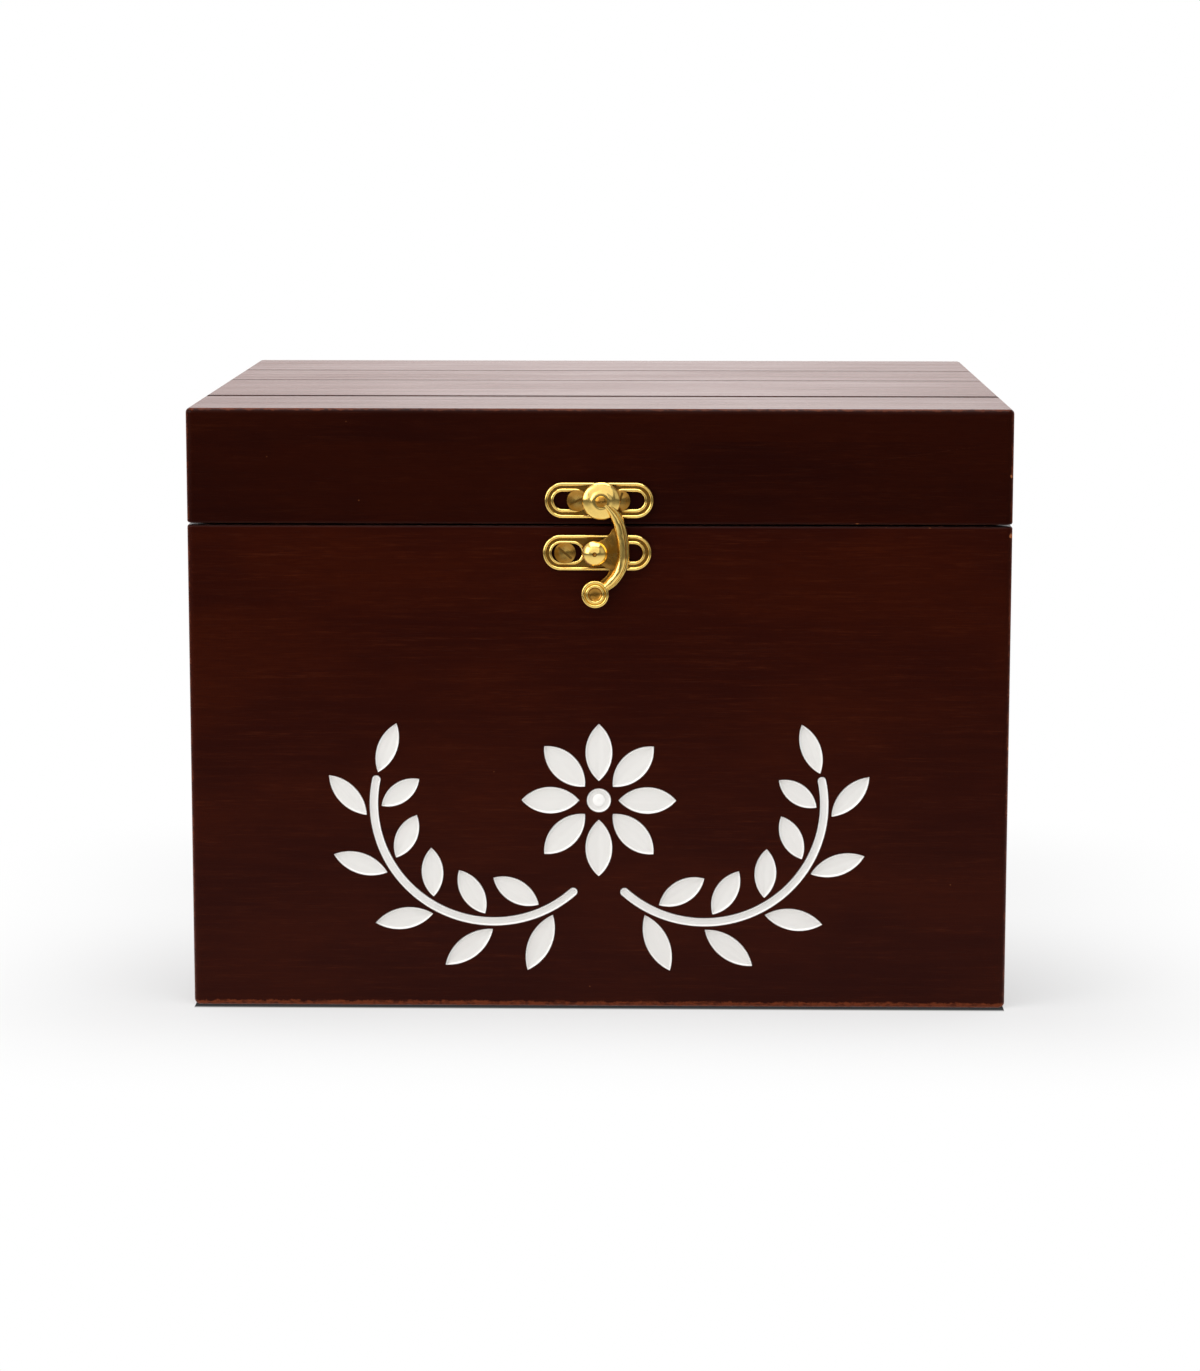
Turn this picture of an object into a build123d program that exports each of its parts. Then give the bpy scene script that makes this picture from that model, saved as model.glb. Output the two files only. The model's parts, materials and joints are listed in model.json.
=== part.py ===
from build123d import *
import math
import os

# Recipe card box: a mitred wooden box with a hinged, boarded lid and a brass hook latch.
# Millimetres. The origin is the centre of the underside, +Z is up and the front faces -Y.

# ---------------------------------------------------------------- walls and lid
outer_width = 177.8
outer_depth = 152.4
body_height = 106.0
wall_thickness = 10.0
seam_gap = 0.4
lid_rail_height = 17.8
lid_board_thickness = 7.0
corner_radius = 1.6
seam_easing = 0.5
base_easing = 1.2
lid_top_easing = 1.0
cut_overrun = 5.0

# ---------------------------------------------------------------- bottom
bottom_thickness = 5.0
bottom_rabbet = 5.0
bottom_fit = 0.15

# ---------------------------------------------------------------- lid boards
card_groove_setback = 34.0
second_board_width = 49.5
third_board_width = 32.5
card_groove_width = 2.4
card_groove_depth = 3.5
board_joint_vee = 0.6
groove_arris_vee = 0.45

# ---------------------------------------------------------------- hinges
lid_opening_angle = 105.0
stop_relief_angle = 0.5
hinge_length = 22.0
hinge_spacing = 100.0
hinge_pin_inset = 2.6
hinge_leaf_width = 6.4
hinge_leaf_thickness = 0.9
hinge_leaf_fit = 0.1
hinge_knuckle_radius = 1.7
hinge_lid_knuckle_length = 8.0
hinge_pin_radius = 0.8
hinge_pin_overhang = 0.3
hinge_pin_clearance = 0.04
hinge_knuckle_end_gap = 0.15
hinge_barrel_clearance = 0.3
hinge_screw_spacing = 13.0
hinge_screw_length = 9.0
hinge_screw_radius = 0.7
hinge_screw_head_radius = 1.35
hinge_screw_head_height = 0.7
hinge_screw_slot_width = 0.45
hinge_screw_slot_depth = 0.25

# ---------------------------------------------------------------- latch plates
latch_pivot_above_seam = 5.4
latch_keeper_below_seam = 5.9
latch_pivot_offset = 0.5
latch_keeper_offset = -0.9
body_plate_offset = -0.4
plate_length = 23.4
plate_height = 7.7
plate_thickness = 0.6
plate_bead_height = 1.1
plate_bead_width = 0.75
plate_bead_easing = 0.25
plate_groove_width = 0.5
plate_slot_inner_centre = 5.2
plate_seat_radius = 1.5
plate_seat_height = 1.65

# ---------------------------------------------------------------- latch screws
lid_screw_setouts = (-4.6, 4.4)
body_screw_setouts = (-6.9, 4.4)
latch_screw_radius = 0.8
latch_screw_length = 7.0
latch_screw_head_radius = 2.3
latch_screw_head_edge = 0.12
latch_screw_head_height = 0.5
latch_screw_slot_width = 0.5
latch_screw_slot_depth = 0.25
lid_screw_turns = (25.0, 70.0)
body_screw_turns = (140.0, 10.0)

# ---------------------------------------------------------------- latch hook
hook_clearance = 0.1
hook_boss_radius = 4.1
hook_boss_edge = 0.35
hook_boss_crown_radius = 3.4
hook_boss_crown_height = 0.85
hook_hub_radius = 2.3
hook_hub_height = 1.85
hook_shoulder_height = 1.3
hook_arm_width = 2.7
hook_arm_height = 2.1
hook_arm_side = 0.9
hook_arm_reach = 4.8
hook_arm_upper_radius = 21.4
hook_arm_upper_angle = 33.5
hook_arm_lower_radius = 8.8
hook_arm_lower_angle = 54.5
hook_blade_thickness = 0.7
blade_root_top = (4.1, 6.2)
blade_tip = (2.35, 5.2)
blade_upper_hollow = (0.85, 3.3)
blade_upper_nose = (-2.3, 2.4)
blade_lower_nose = (-2.3, -2.1)
blade_lower_hollow = (0.75, -2.8)
blade_heel = (1.85, -3.6)
blade_web_hollow = (0.6, -5.4)
blade_web_end = (-1.7, -6.4)
blade_web_root = (1.0, -7.2)
blade_root_low = (4.2, -3.0)
hook_ring_x = -1.3
hook_ring_y = -20.1
hook_ring_radius = 3.0
hook_ring_thickness = 0.95
hook_ring_easing = 0.2
hook_ring_bead = 0.38
hook_ring_inner_radius = 1.8
hook_ring_inner_bead = 0.38

# ---------------------------------------------------------------- rivet and stud
rivet_radius = 0.8
rivet_clearance = 0.05
rivet_tail = 6.0
rivet_head_radius = 1.15
rivet_head_height = 0.5
rivet_head_edge = 0.1
stud_shoulder_radius = 1.9
stud_shoulder_height = 0.8
stud_neck_radius = 1.2
stud_head_radius = 2.7
stud_head_height = 1.65
stud_head_edge = 0.25
stud_tail = 6.0
stud_dimple_radius = 0.5
stud_side_clearance = 0.15
fixing_clearance = 0.02

# ---------------------------------------------------------------- front ornament
ornament_height = 46.0
inlay_depth = 1.2
inlay_recess = 0.12
inlay_gap = 0.15
petal_count = 8
petal_length = 12.5
petal_width = 5.8
petal_start = 4.3
flower_eye_radius = 2.6
spray_centre_x = 23.0
spray_centre_drop = 1.0
spray_radius = 26.0
spray_start_angle = -132.0
spray_end_angle = 12.0
spray_pairs = 5
spray_tail = 0.6
stem_width = 1.8
outer_leaf_length = 13.5
inner_leaf_length = 11.5
leaf_width = 5.0
leaf_taper = 0.15
outer_leaf_splay = 38.0
inner_leaf_splay = 55.0
inner_leaf_lead = 4.0
leaf_clear_of_stem = 0.8
tip_leaf_lean = 5.0

# ---------------------------------------------------------------- worked-out places
inner_width = outer_width - 2 * wall_thickness
inner_depth = outer_depth - 2 * wall_thickness
front_y = -outer_depth / 2
back_y = outer_depth / 2
seam_z = body_height + seam_gap / 2
lid_low_z = body_height + seam_gap
lid_board_z = lid_low_z + lid_rail_height
lid_top_z = lid_board_z + lid_board_thickness
pin_y = back_y - hinge_pin_inset
plate_band = 2 * plate_bead_width + plate_groove_width
plate_slot_width = plate_height - 2 * plate_band
hook_base = plate_seat_height + hook_clearance
hub_top = hook_base + hook_hub_height
stud_head_base = hook_base + hook_blade_thickness + 2 * hook_clearance
keeper_drop = latch_pivot_above_seam + latch_keeper_below_seam
plate_outer_centre = plate_length / 2 - plate_height / 2


# ---------------------------------------------------------------- planes on the front
def front_plane(x, z):
    """A plane on the front to draw on, with its local Z axis out of the wood."""
    return Plane(origin=(x, front_y, z), x_dir=(1, 0, 0), z_dir=(0, -1, 0))


lid_plate_plane = front_plane(0, seam_z + latch_pivot_above_seam)
body_plate_plane = front_plane(body_plate_offset, seam_z - latch_keeper_below_seam)
latch_pivot_plane = front_plane(latch_pivot_offset, seam_z + latch_pivot_above_seam)
latch_keeper_plane = front_plane(latch_keeper_offset, seam_z - latch_keeper_below_seam)
ornament_plane = front_plane(0, ornament_height)


# ---------------------------------------------------------------- small helpers
def slab(x_low, x_high, y_low, y_high, z_low, z_high):
    """A block between two corners."""
    size = (x_high - x_low, y_high - y_low, z_high - z_low)
    centre = ((x_low + x_high) / 2, (y_low + y_high) / 2, (z_low + z_high) / 2)
    return Pos(*centre) * Box(*size)


def bar_along_x(section, x_low, x_high):
    """Sweep a section, drawn as (y, z) points, along X between two places."""
    wire = Polyline([(x_low, y, z) for y, z in section], close=True)
    return extrude(make_face(wire), amount=x_high - x_low, dir=(1, 0, 0))


def rod_along_x(radius, x_low, x_high):
    """A rod on the hinge axis."""
    return Pos((x_low + x_high) / 2, pin_y, seam_z) * Rot(0, 90, 0) * Cylinder(radius, x_high - x_low)


def disc(radius, low, high):
    """A disc on the local axis, between two heights."""
    return Pos(0, 0, (low + high) / 2) * Cylinder(radius, high - low)


def vee_bar(y, z, half_width):
    """A square bar on its edge, right across the lid, that eases a joint at the top."""
    section = [(y - half_width, z), (y, z - half_width), (y + half_width, z), (y, z + half_width)]
    return bar_along_x(section, -outer_width / 2 - cut_overrun, outer_width / 2 + cut_overrun)


def domed_disc(radius, low, high, edge):
    """A disc with a straight edge and a round crown above it."""
    rise = high - low - edge
    crown_radius = (radius**2 + rise**2) / (2 * rise)
    return disc(radius, low, high) & Pos(0, 0, high - crown_radius) * Sphere(crown_radius)


def turned(profile):
    """Revolve a profile of (radius, height) points about the local axis."""
    wire = Polyline([(radius, 0, height) for radius, height in profile], close=True)
    return revolve(make_face(wire), Axis.Z, 360)


# ---------------------------------------------------------------- mitred walls
def wall_ring(z_low, z_high):
    """The four walls of the body or the lid as one closed frame."""
    height = z_high - z_low
    outside = extrude(RectangleRounded(outer_width, outer_depth, corner_radius), height)
    inside = extrude(Rectangle(inner_width, inner_depth), height)
    return Pos(0, 0, z_low) * (outside - inside)


def hinge_bevel():
    """The wedge behind the hinge axis that lets the lid fall back onto its stop."""
    half_angle = math.radians((lid_opening_angle + stop_relief_angle) / 2)
    reach = hinge_pin_inset + cut_overrun
    rise = reach * math.tan(half_angle)
    section = [(pin_y, seam_z), (pin_y + reach, seam_z + rise), (pin_y + reach, seam_z - rise)]
    return bar_along_x(section, -outer_width / 2 - cut_overrun, outer_width / 2 + cut_overrun)


def mitre_wedge(side, z_low, z_high):
    """The space that one wall takes between its two mitre planes."""
    far_x = outer_width / 2 + cut_overrun
    far_y = outer_depth / 2 + cut_overrun
    near_x = inner_width / 2 - cut_overrun
    near_y = inner_depth / 2 - cut_overrun
    far = [(-far_x, -far_y), (far_x, -far_y), (far_x, far_y), (-far_x, far_y)]
    near = [(-near_x, -near_y), (near_x, -near_y), (near_x, near_y), (-near_x, near_y)]
    first = ["front", "right", "back", "left"].index(side)
    second = (first + 1) % 4
    corners = [far[first], far[second], near[second], near[first]]
    outline = make_face(Polyline([(x, y, z_low) for x, y in corners], close=True))
    return extrude(outline, amount=z_high - z_low, dir=(0, 0, 1))


def body_ring():
    """The body's walls: eased at the rim and the base, rabbeted below, bevelled at the hinge."""
    ring = wall_ring(0, body_height)
    ring = fillet(ring.faces().sort_by(Axis.Z)[-1].edges(), seam_easing)
    base_outline = ring.faces().sort_by(Axis.Z)[0].outer_wire()
    ring = fillet(base_outline.edges(), base_easing)
    rabbet = slab(
        -inner_width / 2 - bottom_rabbet, inner_width / 2 + bottom_rabbet,
        -inner_depth / 2 - bottom_rabbet, inner_depth / 2 + bottom_rabbet,
        0, bottom_thickness,
    )
    return ring - rabbet - hinge_bevel()


def lid_ring():
    """The lid's rails: eased at the seam and bevelled at the hinge."""
    ring = wall_ring(lid_low_z, lid_board_z)
    ring = fillet(ring.faces().sort_by(Axis.Z)[0].edges(), seam_easing)
    return ring - hinge_bevel()


def mitred_walls(ring, z_low, z_high):
    """Cut a frame into its four walls."""
    return {side: ring & mitre_wedge(side, z_low, z_high) for side in ("front", "right", "back", "left")}


# ---------------------------------------------------------------- bottom and boards
def bottom_panel():
    """The plywood bottom, flush with the underside of the walls."""
    half_width = inner_width / 2 + bottom_rabbet - bottom_fit
    half_depth = inner_depth / 2 + bottom_rabbet - bottom_fit
    return slab(-half_width, half_width, -half_depth, half_depth, 0, bottom_thickness)


def lid_boards():
    """The four top boards, glued edge to edge on the rails, with a groove that holds a card."""
    blank = extrude(RectangleRounded(outer_width, outer_depth, corner_radius), lid_board_thickness)
    blank = fillet(blank.faces().sort_by(Axis.Z)[-1].edges(), lid_top_easing)
    blank = Pos(0, 0, lid_board_z) * blank
    groove_front = front_y + card_groove_setback
    groove_back = groove_front + card_groove_width
    second_joint = groove_front + second_board_width
    third_joint = second_joint + third_board_width
    end = outer_width / 2 + cut_overrun
    groove = slab(
        -end, end, groove_front, groove_back,
        lid_top_z - card_groove_depth, lid_top_z + cut_overrun,
    )
    blank = blank - groove
    blank = blank - vee_bar(groove_front, lid_top_z, groove_arris_vee)
    blank = blank - vee_bar(groove_back, lid_top_z, groove_arris_vee)
    for joint in (second_joint, third_joint):
        blank = blank - vee_bar(joint, lid_top_z, board_joint_vee)
    edges = [front_y - cut_overrun, groove_front, second_joint, third_joint, back_y + cut_overrun]
    boards = {}
    for place, name in enumerate(("front", "second", "third", "back")):
        span = slab(-end, end, edges[place], edges[place + 1], lid_low_z, lid_top_z + cut_overrun)
        boards[name] = blank & span
    return boards


# ---------------------------------------------------------------- hinges
def hinge_centres():
    """Where the two hinges stand along the back."""
    return {"left": -hinge_spacing / 2, "right": hinge_spacing / 2}


def knuckle_spans(x_centre):
    """The lengths of barrel that belong to the body leaf and to the lid leaf."""
    low = x_centre - hinge_length / 2
    high = x_centre + hinge_length / 2
    lid_low = x_centre - hinge_lid_knuckle_length / 2
    lid_high = x_centre + hinge_lid_knuckle_length / 2
    gap = hinge_knuckle_end_gap
    return {"body": [(low, lid_low - gap), (lid_high + gap, high)], "lid": [(lid_low, lid_high)]}


def hinge_leaf(x_centre, side):
    """One leaf, let in flush with the seam, with its share of the barrel."""
    z_low = body_height - hinge_leaf_thickness if side == "body" else lid_low_z
    z_high = z_low + hinge_leaf_thickness
    plate_end = pin_y - hinge_knuckle_radius - hinge_barrel_clearance
    leaf = slab(
        x_centre - hinge_length / 2, x_centre + hinge_length / 2,
        pin_y - hinge_leaf_width, plate_end, z_low, z_high,
    )
    for low, high in knuckle_spans(x_centre)[side]:
        leaf += slab(low, high, plate_end, pin_y, z_low, z_high)
        leaf += rod_along_x(hinge_knuckle_radius, low, high)
    bore_half = hinge_length / 2 + cut_overrun
    leaf -= rod_along_x(hinge_pin_radius + hinge_pin_clearance, x_centre - bore_half, x_centre + bore_half)
    for place in hinge_screw_places(x_centre, side):
        leaf -= place * countersunk_screw(fixing_clearance, False)
    return leaf


def hinge_pin(x_centre):
    """The pin through all three knuckles."""
    half = hinge_length / 2 + hinge_pin_overhang
    return rod_along_x(hinge_pin_radius, x_centre - half, x_centre + half)


def hinge_room(x_centre, side):
    """What is cut from the wood for one leaf and the barrel."""
    z_low = body_height - hinge_leaf_thickness if side == "body" else lid_low_z
    z_high = z_low + hinge_leaf_thickness
    half = hinge_length / 2 + hinge_leaf_fit
    room = slab(
        x_centre - half, x_centre + half,
        pin_y - hinge_leaf_width - hinge_leaf_fit, pin_y, z_low, z_high,
    )
    barrel_half = hinge_length / 2 + hinge_pin_overhang + hinge_barrel_clearance
    barrel_radius = hinge_knuckle_radius + hinge_barrel_clearance
    room += rod_along_x(barrel_radius, x_centre - barrel_half, x_centre + barrel_half)
    for place in hinge_screw_places(x_centre, side):
        room += place * countersunk_screw(fixing_clearance, False)
    return room


def hinge_screw_places(x_centre, side):
    """Two places on a leaf, with the head at the seam and the point in the wood."""
    plate_end = hinge_knuckle_radius + hinge_barrel_clearance
    y = pin_y - (plate_end + hinge_leaf_width) / 2
    z = body_height if side == "body" else lid_low_z
    turn = Rot(0, 0, 0) if side == "body" else Rot(180, 0, 0)
    return [Pos(x_centre + sign * hinge_screw_spacing / 2, y, z) * turn for sign in (-1, 1)]


def countersunk_screw(clearance, slotted):
    """A screw with its head flush at the local origin and its point downwards."""
    head = hinge_screw_head_radius + clearance
    shank = hinge_screw_radius + clearance
    head_low = -hinge_screw_head_height - clearance
    tip = -hinge_screw_length - clearance
    taper = 2 * hinge_screw_radius
    profile = [(0, 0), (head, 0), (shank, head_low), (shank, tip + taper), (0, tip)]
    screw = turned(profile)
    if slotted:
        half = hinge_screw_slot_width / 2
        screw -= slab(-head, head, -half, half, -hinge_screw_slot_depth, cut_overrun)
    return screw


# ---------------------------------------------------------------- latch plates
def slot_place(side):
    """Where one end slot of a plate lies, in the plate's own plane."""
    return Pos(side * (plate_outer_centre + plate_slot_inner_centre) / 2, 0)


def slot_outline(grow):
    """One end slot, or its outline grown by a margin."""
    run = plate_outer_centre - plate_slot_inner_centre
    return SlotCenterToCenter(run, plate_slot_width + 2 * grow)


def bead(outline, inner_outline):
    """A raised bead with rounded shoulders between two outlines."""
    ring = extrude(outline - inner_outline, plate_bead_height)
    return fillet(ring.faces().sort_by(Axis.Z)[-1].edges(), plate_bead_easing)


def latch_plate():
    """A pill-shaped plate with a beaded rim and two beaded end slots."""
    pill = SlotOverall(plate_length, plate_height)
    rim_inside = SlotOverall(plate_length - 2 * plate_bead_width, plate_height - 2 * plate_bead_width)
    plate = extrude(pill, plate_thickness) + bead(pill, rim_inside)
    for side in (-1, 1):
        plate += slot_place(side) * bead(slot_outline(plate_bead_width), slot_outline(0))
        plate -= slot_place(side) * extrude(slot_outline(0), plate_bead_height)
    return plate


def latch_lid_plate():
    """The upper plate, with the seat that the hook turns on."""
    place = Pos(latch_pivot_offset, 0)
    plate = latch_plate() + place * disc(plate_seat_radius, 0, plate_seat_height)
    return plate - place * disc(rivet_radius + fixing_clearance, -plate_thickness, 2 * plate_seat_height)


def latch_body_plate():
    """The lower plate, bored for the keeper stud."""
    place = Pos(latch_keeper_offset - body_plate_offset, 0)
    rivet_hole = disc(rivet_radius + fixing_clearance, -plate_thickness, 2 * plate_thickness)
    return latch_plate() - place * rivet_hole


def round_head_screw(clearance, turn):
    """A round-head screw that bears on the bead round a slot."""
    head_low = plate_bead_height + fixing_clearance
    shank = latch_screw_radius + clearance
    tip = -latch_screw_length - clearance
    taper = 2 * latch_screw_radius
    profile = [(0, tip), (shank, tip + taper), (shank, head_low), (0, head_low)]
    screw = turned(profile)
    if clearance:
        return screw
    head_top = head_low + latch_screw_head_height
    head = domed_disc(latch_screw_head_radius, head_low, head_top, latch_screw_head_edge)
    radius = latch_screw_head_radius
    slot = slab(
        -radius, radius, -latch_screw_slot_width / 2, latch_screw_slot_width / 2,
        head_top - latch_screw_slot_depth, head_top + cut_overrun,
    )
    return screw + (head - Rot(0, 0, turn) * slot)


def latch_screw_pair(clearance, setouts, turns):
    """The two screws of a plate."""
    return [Pos(setout, 0) * round_head_screw(clearance, turn) for setout, turn in zip(setouts, turns)]


# ---------------------------------------------------------------- rivet, stud and hook
def pivot_rivet():
    """The rivet that holds the hook on the upper plate."""
    head_low = hub_top + rivet_clearance
    rivet = disc(rivet_radius, -rivet_tail, head_low)
    return rivet + domed_disc(rivet_head_radius, head_low, head_low + rivet_head_height, rivet_head_edge)


def keeper_stud():
    """The mushroom-headed stud that the hook's blade slides under."""
    stud = disc(rivet_radius, -stud_tail, plate_thickness)
    stud += disc(stud_shoulder_radius, plate_thickness, plate_thickness + stud_shoulder_height)
    stud += disc(stud_neck_radius, plate_thickness, stud_head_base)
    head_top = stud_head_base + stud_head_height
    head = domed_disc(stud_head_radius, stud_head_base, head_top, stud_head_edge)
    dimple = Pos(0, 0, head_top) * Sphere(stud_dimple_radius)
    return stud + (head - dimple)


def hook_boss():
    """The domed boss and hub that turn on the rivet."""
    profile = [
        (0, hook_base),
        (hook_boss_radius, hook_base),
        (hook_boss_radius, hook_base + hook_boss_edge),
        (hook_boss_crown_radius, hook_base + hook_boss_crown_height),
        (hook_hub_radius, hook_base + hook_shoulder_height),
        (hook_hub_radius, hub_top - hook_boss_edge),
        (hook_hub_radius - hook_boss_edge, hub_top),
        (0, hub_top),
    ]
    return turned(profile)


def hook_arm():
    """The arm: one section swung about two centres that meet at the arm's widest reach."""
    half = hook_arm_width / 2
    top = hook_base + hook_arm_height
    side = hook_base + hook_arm_side
    joint = (hook_arm_reach, -keeper_drop)
    low_left = (joint[0] - half, joint[1], hook_base)
    low_right = (joint[0] + half, joint[1], hook_base)
    side_left = (joint[0] - half, joint[1], side)
    side_right = (joint[0] + half, joint[1], side)
    crown = (joint[0], joint[1], top)
    section = make_face([
        Line(low_left, low_right),
        Line(low_right, side_right),
        ThreePointArc(side_right, crown, side_left),
        Line(side_left, low_left),
    ])
    upper_axis = Axis((joint[0] - hook_arm_upper_radius, joint[1], 0), (0, 0, 1))
    lower_axis = Axis((joint[0] - hook_arm_lower_radius, joint[1], 0), (0, 0, -1))
    upper = revolve(section, upper_axis, hook_arm_upper_angle)
    lower = revolve(section, lower_axis, hook_arm_lower_angle)
    return upper + lower


def blade_point(place):
    """A point of the blade, given from the level of the keeper's centre."""
    return (place[0], place[1] - keeper_drop)


def hook_blade():
    """The thin blade inside the arm, before the keeper's notch is cut."""
    root_top, tip, upper_hollow, upper_nose = map(
        blade_point, (blade_root_top, blade_tip, blade_upper_hollow, blade_upper_nose)
    )
    lower_nose, lower_hollow, heel = map(blade_point, (blade_lower_nose, blade_lower_hollow, blade_heel))
    web_hollow, web_end, web_root, root_low = map(
        blade_point, (blade_web_hollow, blade_web_end, blade_web_root, blade_root_low)
    )
    outline = make_face([
        Line(root_top, tip),
        ThreePointArc(tip, upper_hollow, upper_nose),
        Line(upper_nose, lower_nose),
        ThreePointArc(lower_nose, lower_hollow, heel),
        ThreePointArc(heel, web_hollow, web_end),
        Line(web_end, web_root),
        Line(web_root, root_low),
        Line(root_low, root_top),
    ])
    return Pos(0, 0, hook_base) * extrude(outline, hook_blade_thickness)


def hook_notch():
    """The path that the keeper's neck takes as the hook swings clear."""
    stud_x = latch_keeper_offset - latch_pivot_offset
    stud_y = -keeper_drop
    swing = math.hypot(stud_x, stud_y)
    half = stud_neck_radius + stud_side_clearance
    band = Circle(swing + half) - Circle(swing - half)
    left_half = Pos(stud_x - swing, stud_y) * Rectangle(2 * swing, 2 * swing)
    outline = (band & left_half) + Pos(stud_x, stud_y) * Circle(half)
    return Pos(0, 0, plate_bead_height) * extrude(outline, stud_head_base - plate_bead_height)


def hook_ring():
    """The beaded round end that a finger pulls."""
    top = hook_base + hook_ring_thickness
    ring = disc(hook_ring_radius, hook_base, top)
    ring = fillet(ring.faces().sort_by(Axis.Z)[0].edges(), hook_ring_easing)
    ring += Pos(0, 0, top) * Torus(hook_ring_radius - hook_ring_bead, hook_ring_bead)
    ring += Pos(0, 0, top) * Torus(hook_ring_inner_radius, hook_ring_inner_bead)
    return Pos(hook_ring_x, hook_ring_y) * ring


def latch_hook():
    """The whole swinging hook."""
    hook = hook_arm() + hook_boss() + hook_ring()
    hook += hook_blade() - hook_notch()
    hook -= disc(rivet_radius + rivet_clearance, 0, 2 * hub_top)
    hook -= disc(rivet_head_radius + 3 * rivet_clearance, hub_top, 2 * hub_top)
    return hook


# ---------------------------------------------------------------- front ornament
def leaf_shape(length, width, grow):
    """A pointed leaf along the local X axis, or its outline grown by a gap."""
    start = (-grow, 0)
    end = (length + grow, 0)
    above = (length / 2, width / 2 + grow)
    below = (length / 2, -width / 2 - grow)
    return make_face([ThreePointArc(start, above, end), ThreePointArc(end, below, start)])


def polar_place(centre, radius, angle):
    """A point on a circle, angles in degrees."""
    turn = math.radians(angle)
    return Pos(centre[0] + radius * math.cos(turn), centre[1] + radius * math.sin(turn))


def flower(grow):
    """The round-eyed flower in the middle."""
    shapes = [Circle(flower_eye_radius + grow)]
    for step in range(petal_count):
        angle = 90 + 360 * step / petal_count
        place = polar_place((0, 0), petal_start, angle) * Rot(0, 0, angle)
        shapes.append(place * leaf_shape(petal_length, petal_width, grow))
    return shapes


def spray(grow):
    """The leafy stem on the right of the flower."""
    centre = (spray_centre_x, -spray_centre_drop)
    sweep_angle = spray_end_angle - spray_start_angle
    stem = SlotArc(CenterArc((0, 0), spray_radius, spray_start_angle, sweep_angle), stem_width + 2 * grow)
    shapes = [Pos(*centre) * stem]
    step = sweep_angle / (spray_pairs - 0.5 + spray_tail)
    offset = stem_width / 2 + leaf_clear_of_stem
    for pair in range(spray_pairs):
        angle = spray_start_angle + step * (pair + 0.5)
        scale = 1 - leaf_taper * pair / spray_pairs
        outer = polar_place(centre, spray_radius + offset, angle) * Rot(0, 0, angle + 90 - outer_leaf_splay)
        shapes.append(outer * leaf_shape(outer_leaf_length * scale, leaf_width * scale, grow))
        angle += inner_leaf_lead
        inner = polar_place(centre, spray_radius - offset, angle) * Rot(0, 0, angle + 90 + inner_leaf_splay)
        shapes.append(inner * leaf_shape(inner_leaf_length * scale, leaf_width * scale, grow))
    tip_angle = spray_end_angle + math.degrees(offset / spray_radius)
    tip = polar_place(centre, spray_radius, tip_angle) * Rot(0, 0, tip_angle + 90 + tip_leaf_lean)
    tip_scale = 1 - leaf_taper
    shapes.append(tip * leaf_shape(outer_leaf_length * tip_scale, leaf_width * tip_scale, grow))
    return shapes


def ornament_shapes(grow):
    """Every outline of the ornament, in the plane of the front."""
    right = spray(grow)
    left = [mirror(shape, about=Plane.YZ) for shape in right]
    return flower(grow) + right + left


def inlay_solids(grow, high):
    """The ornament as solids from the bottom of its pockets to a height at the front."""
    low = -inlay_depth
    solids = [extrude(Pos(0, 0, low) * shape, high - low, dir=(0, 0, 1)) for shape in ornament_shapes(grow)]
    return [ornament_plane * solid for solid in solids]


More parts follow.
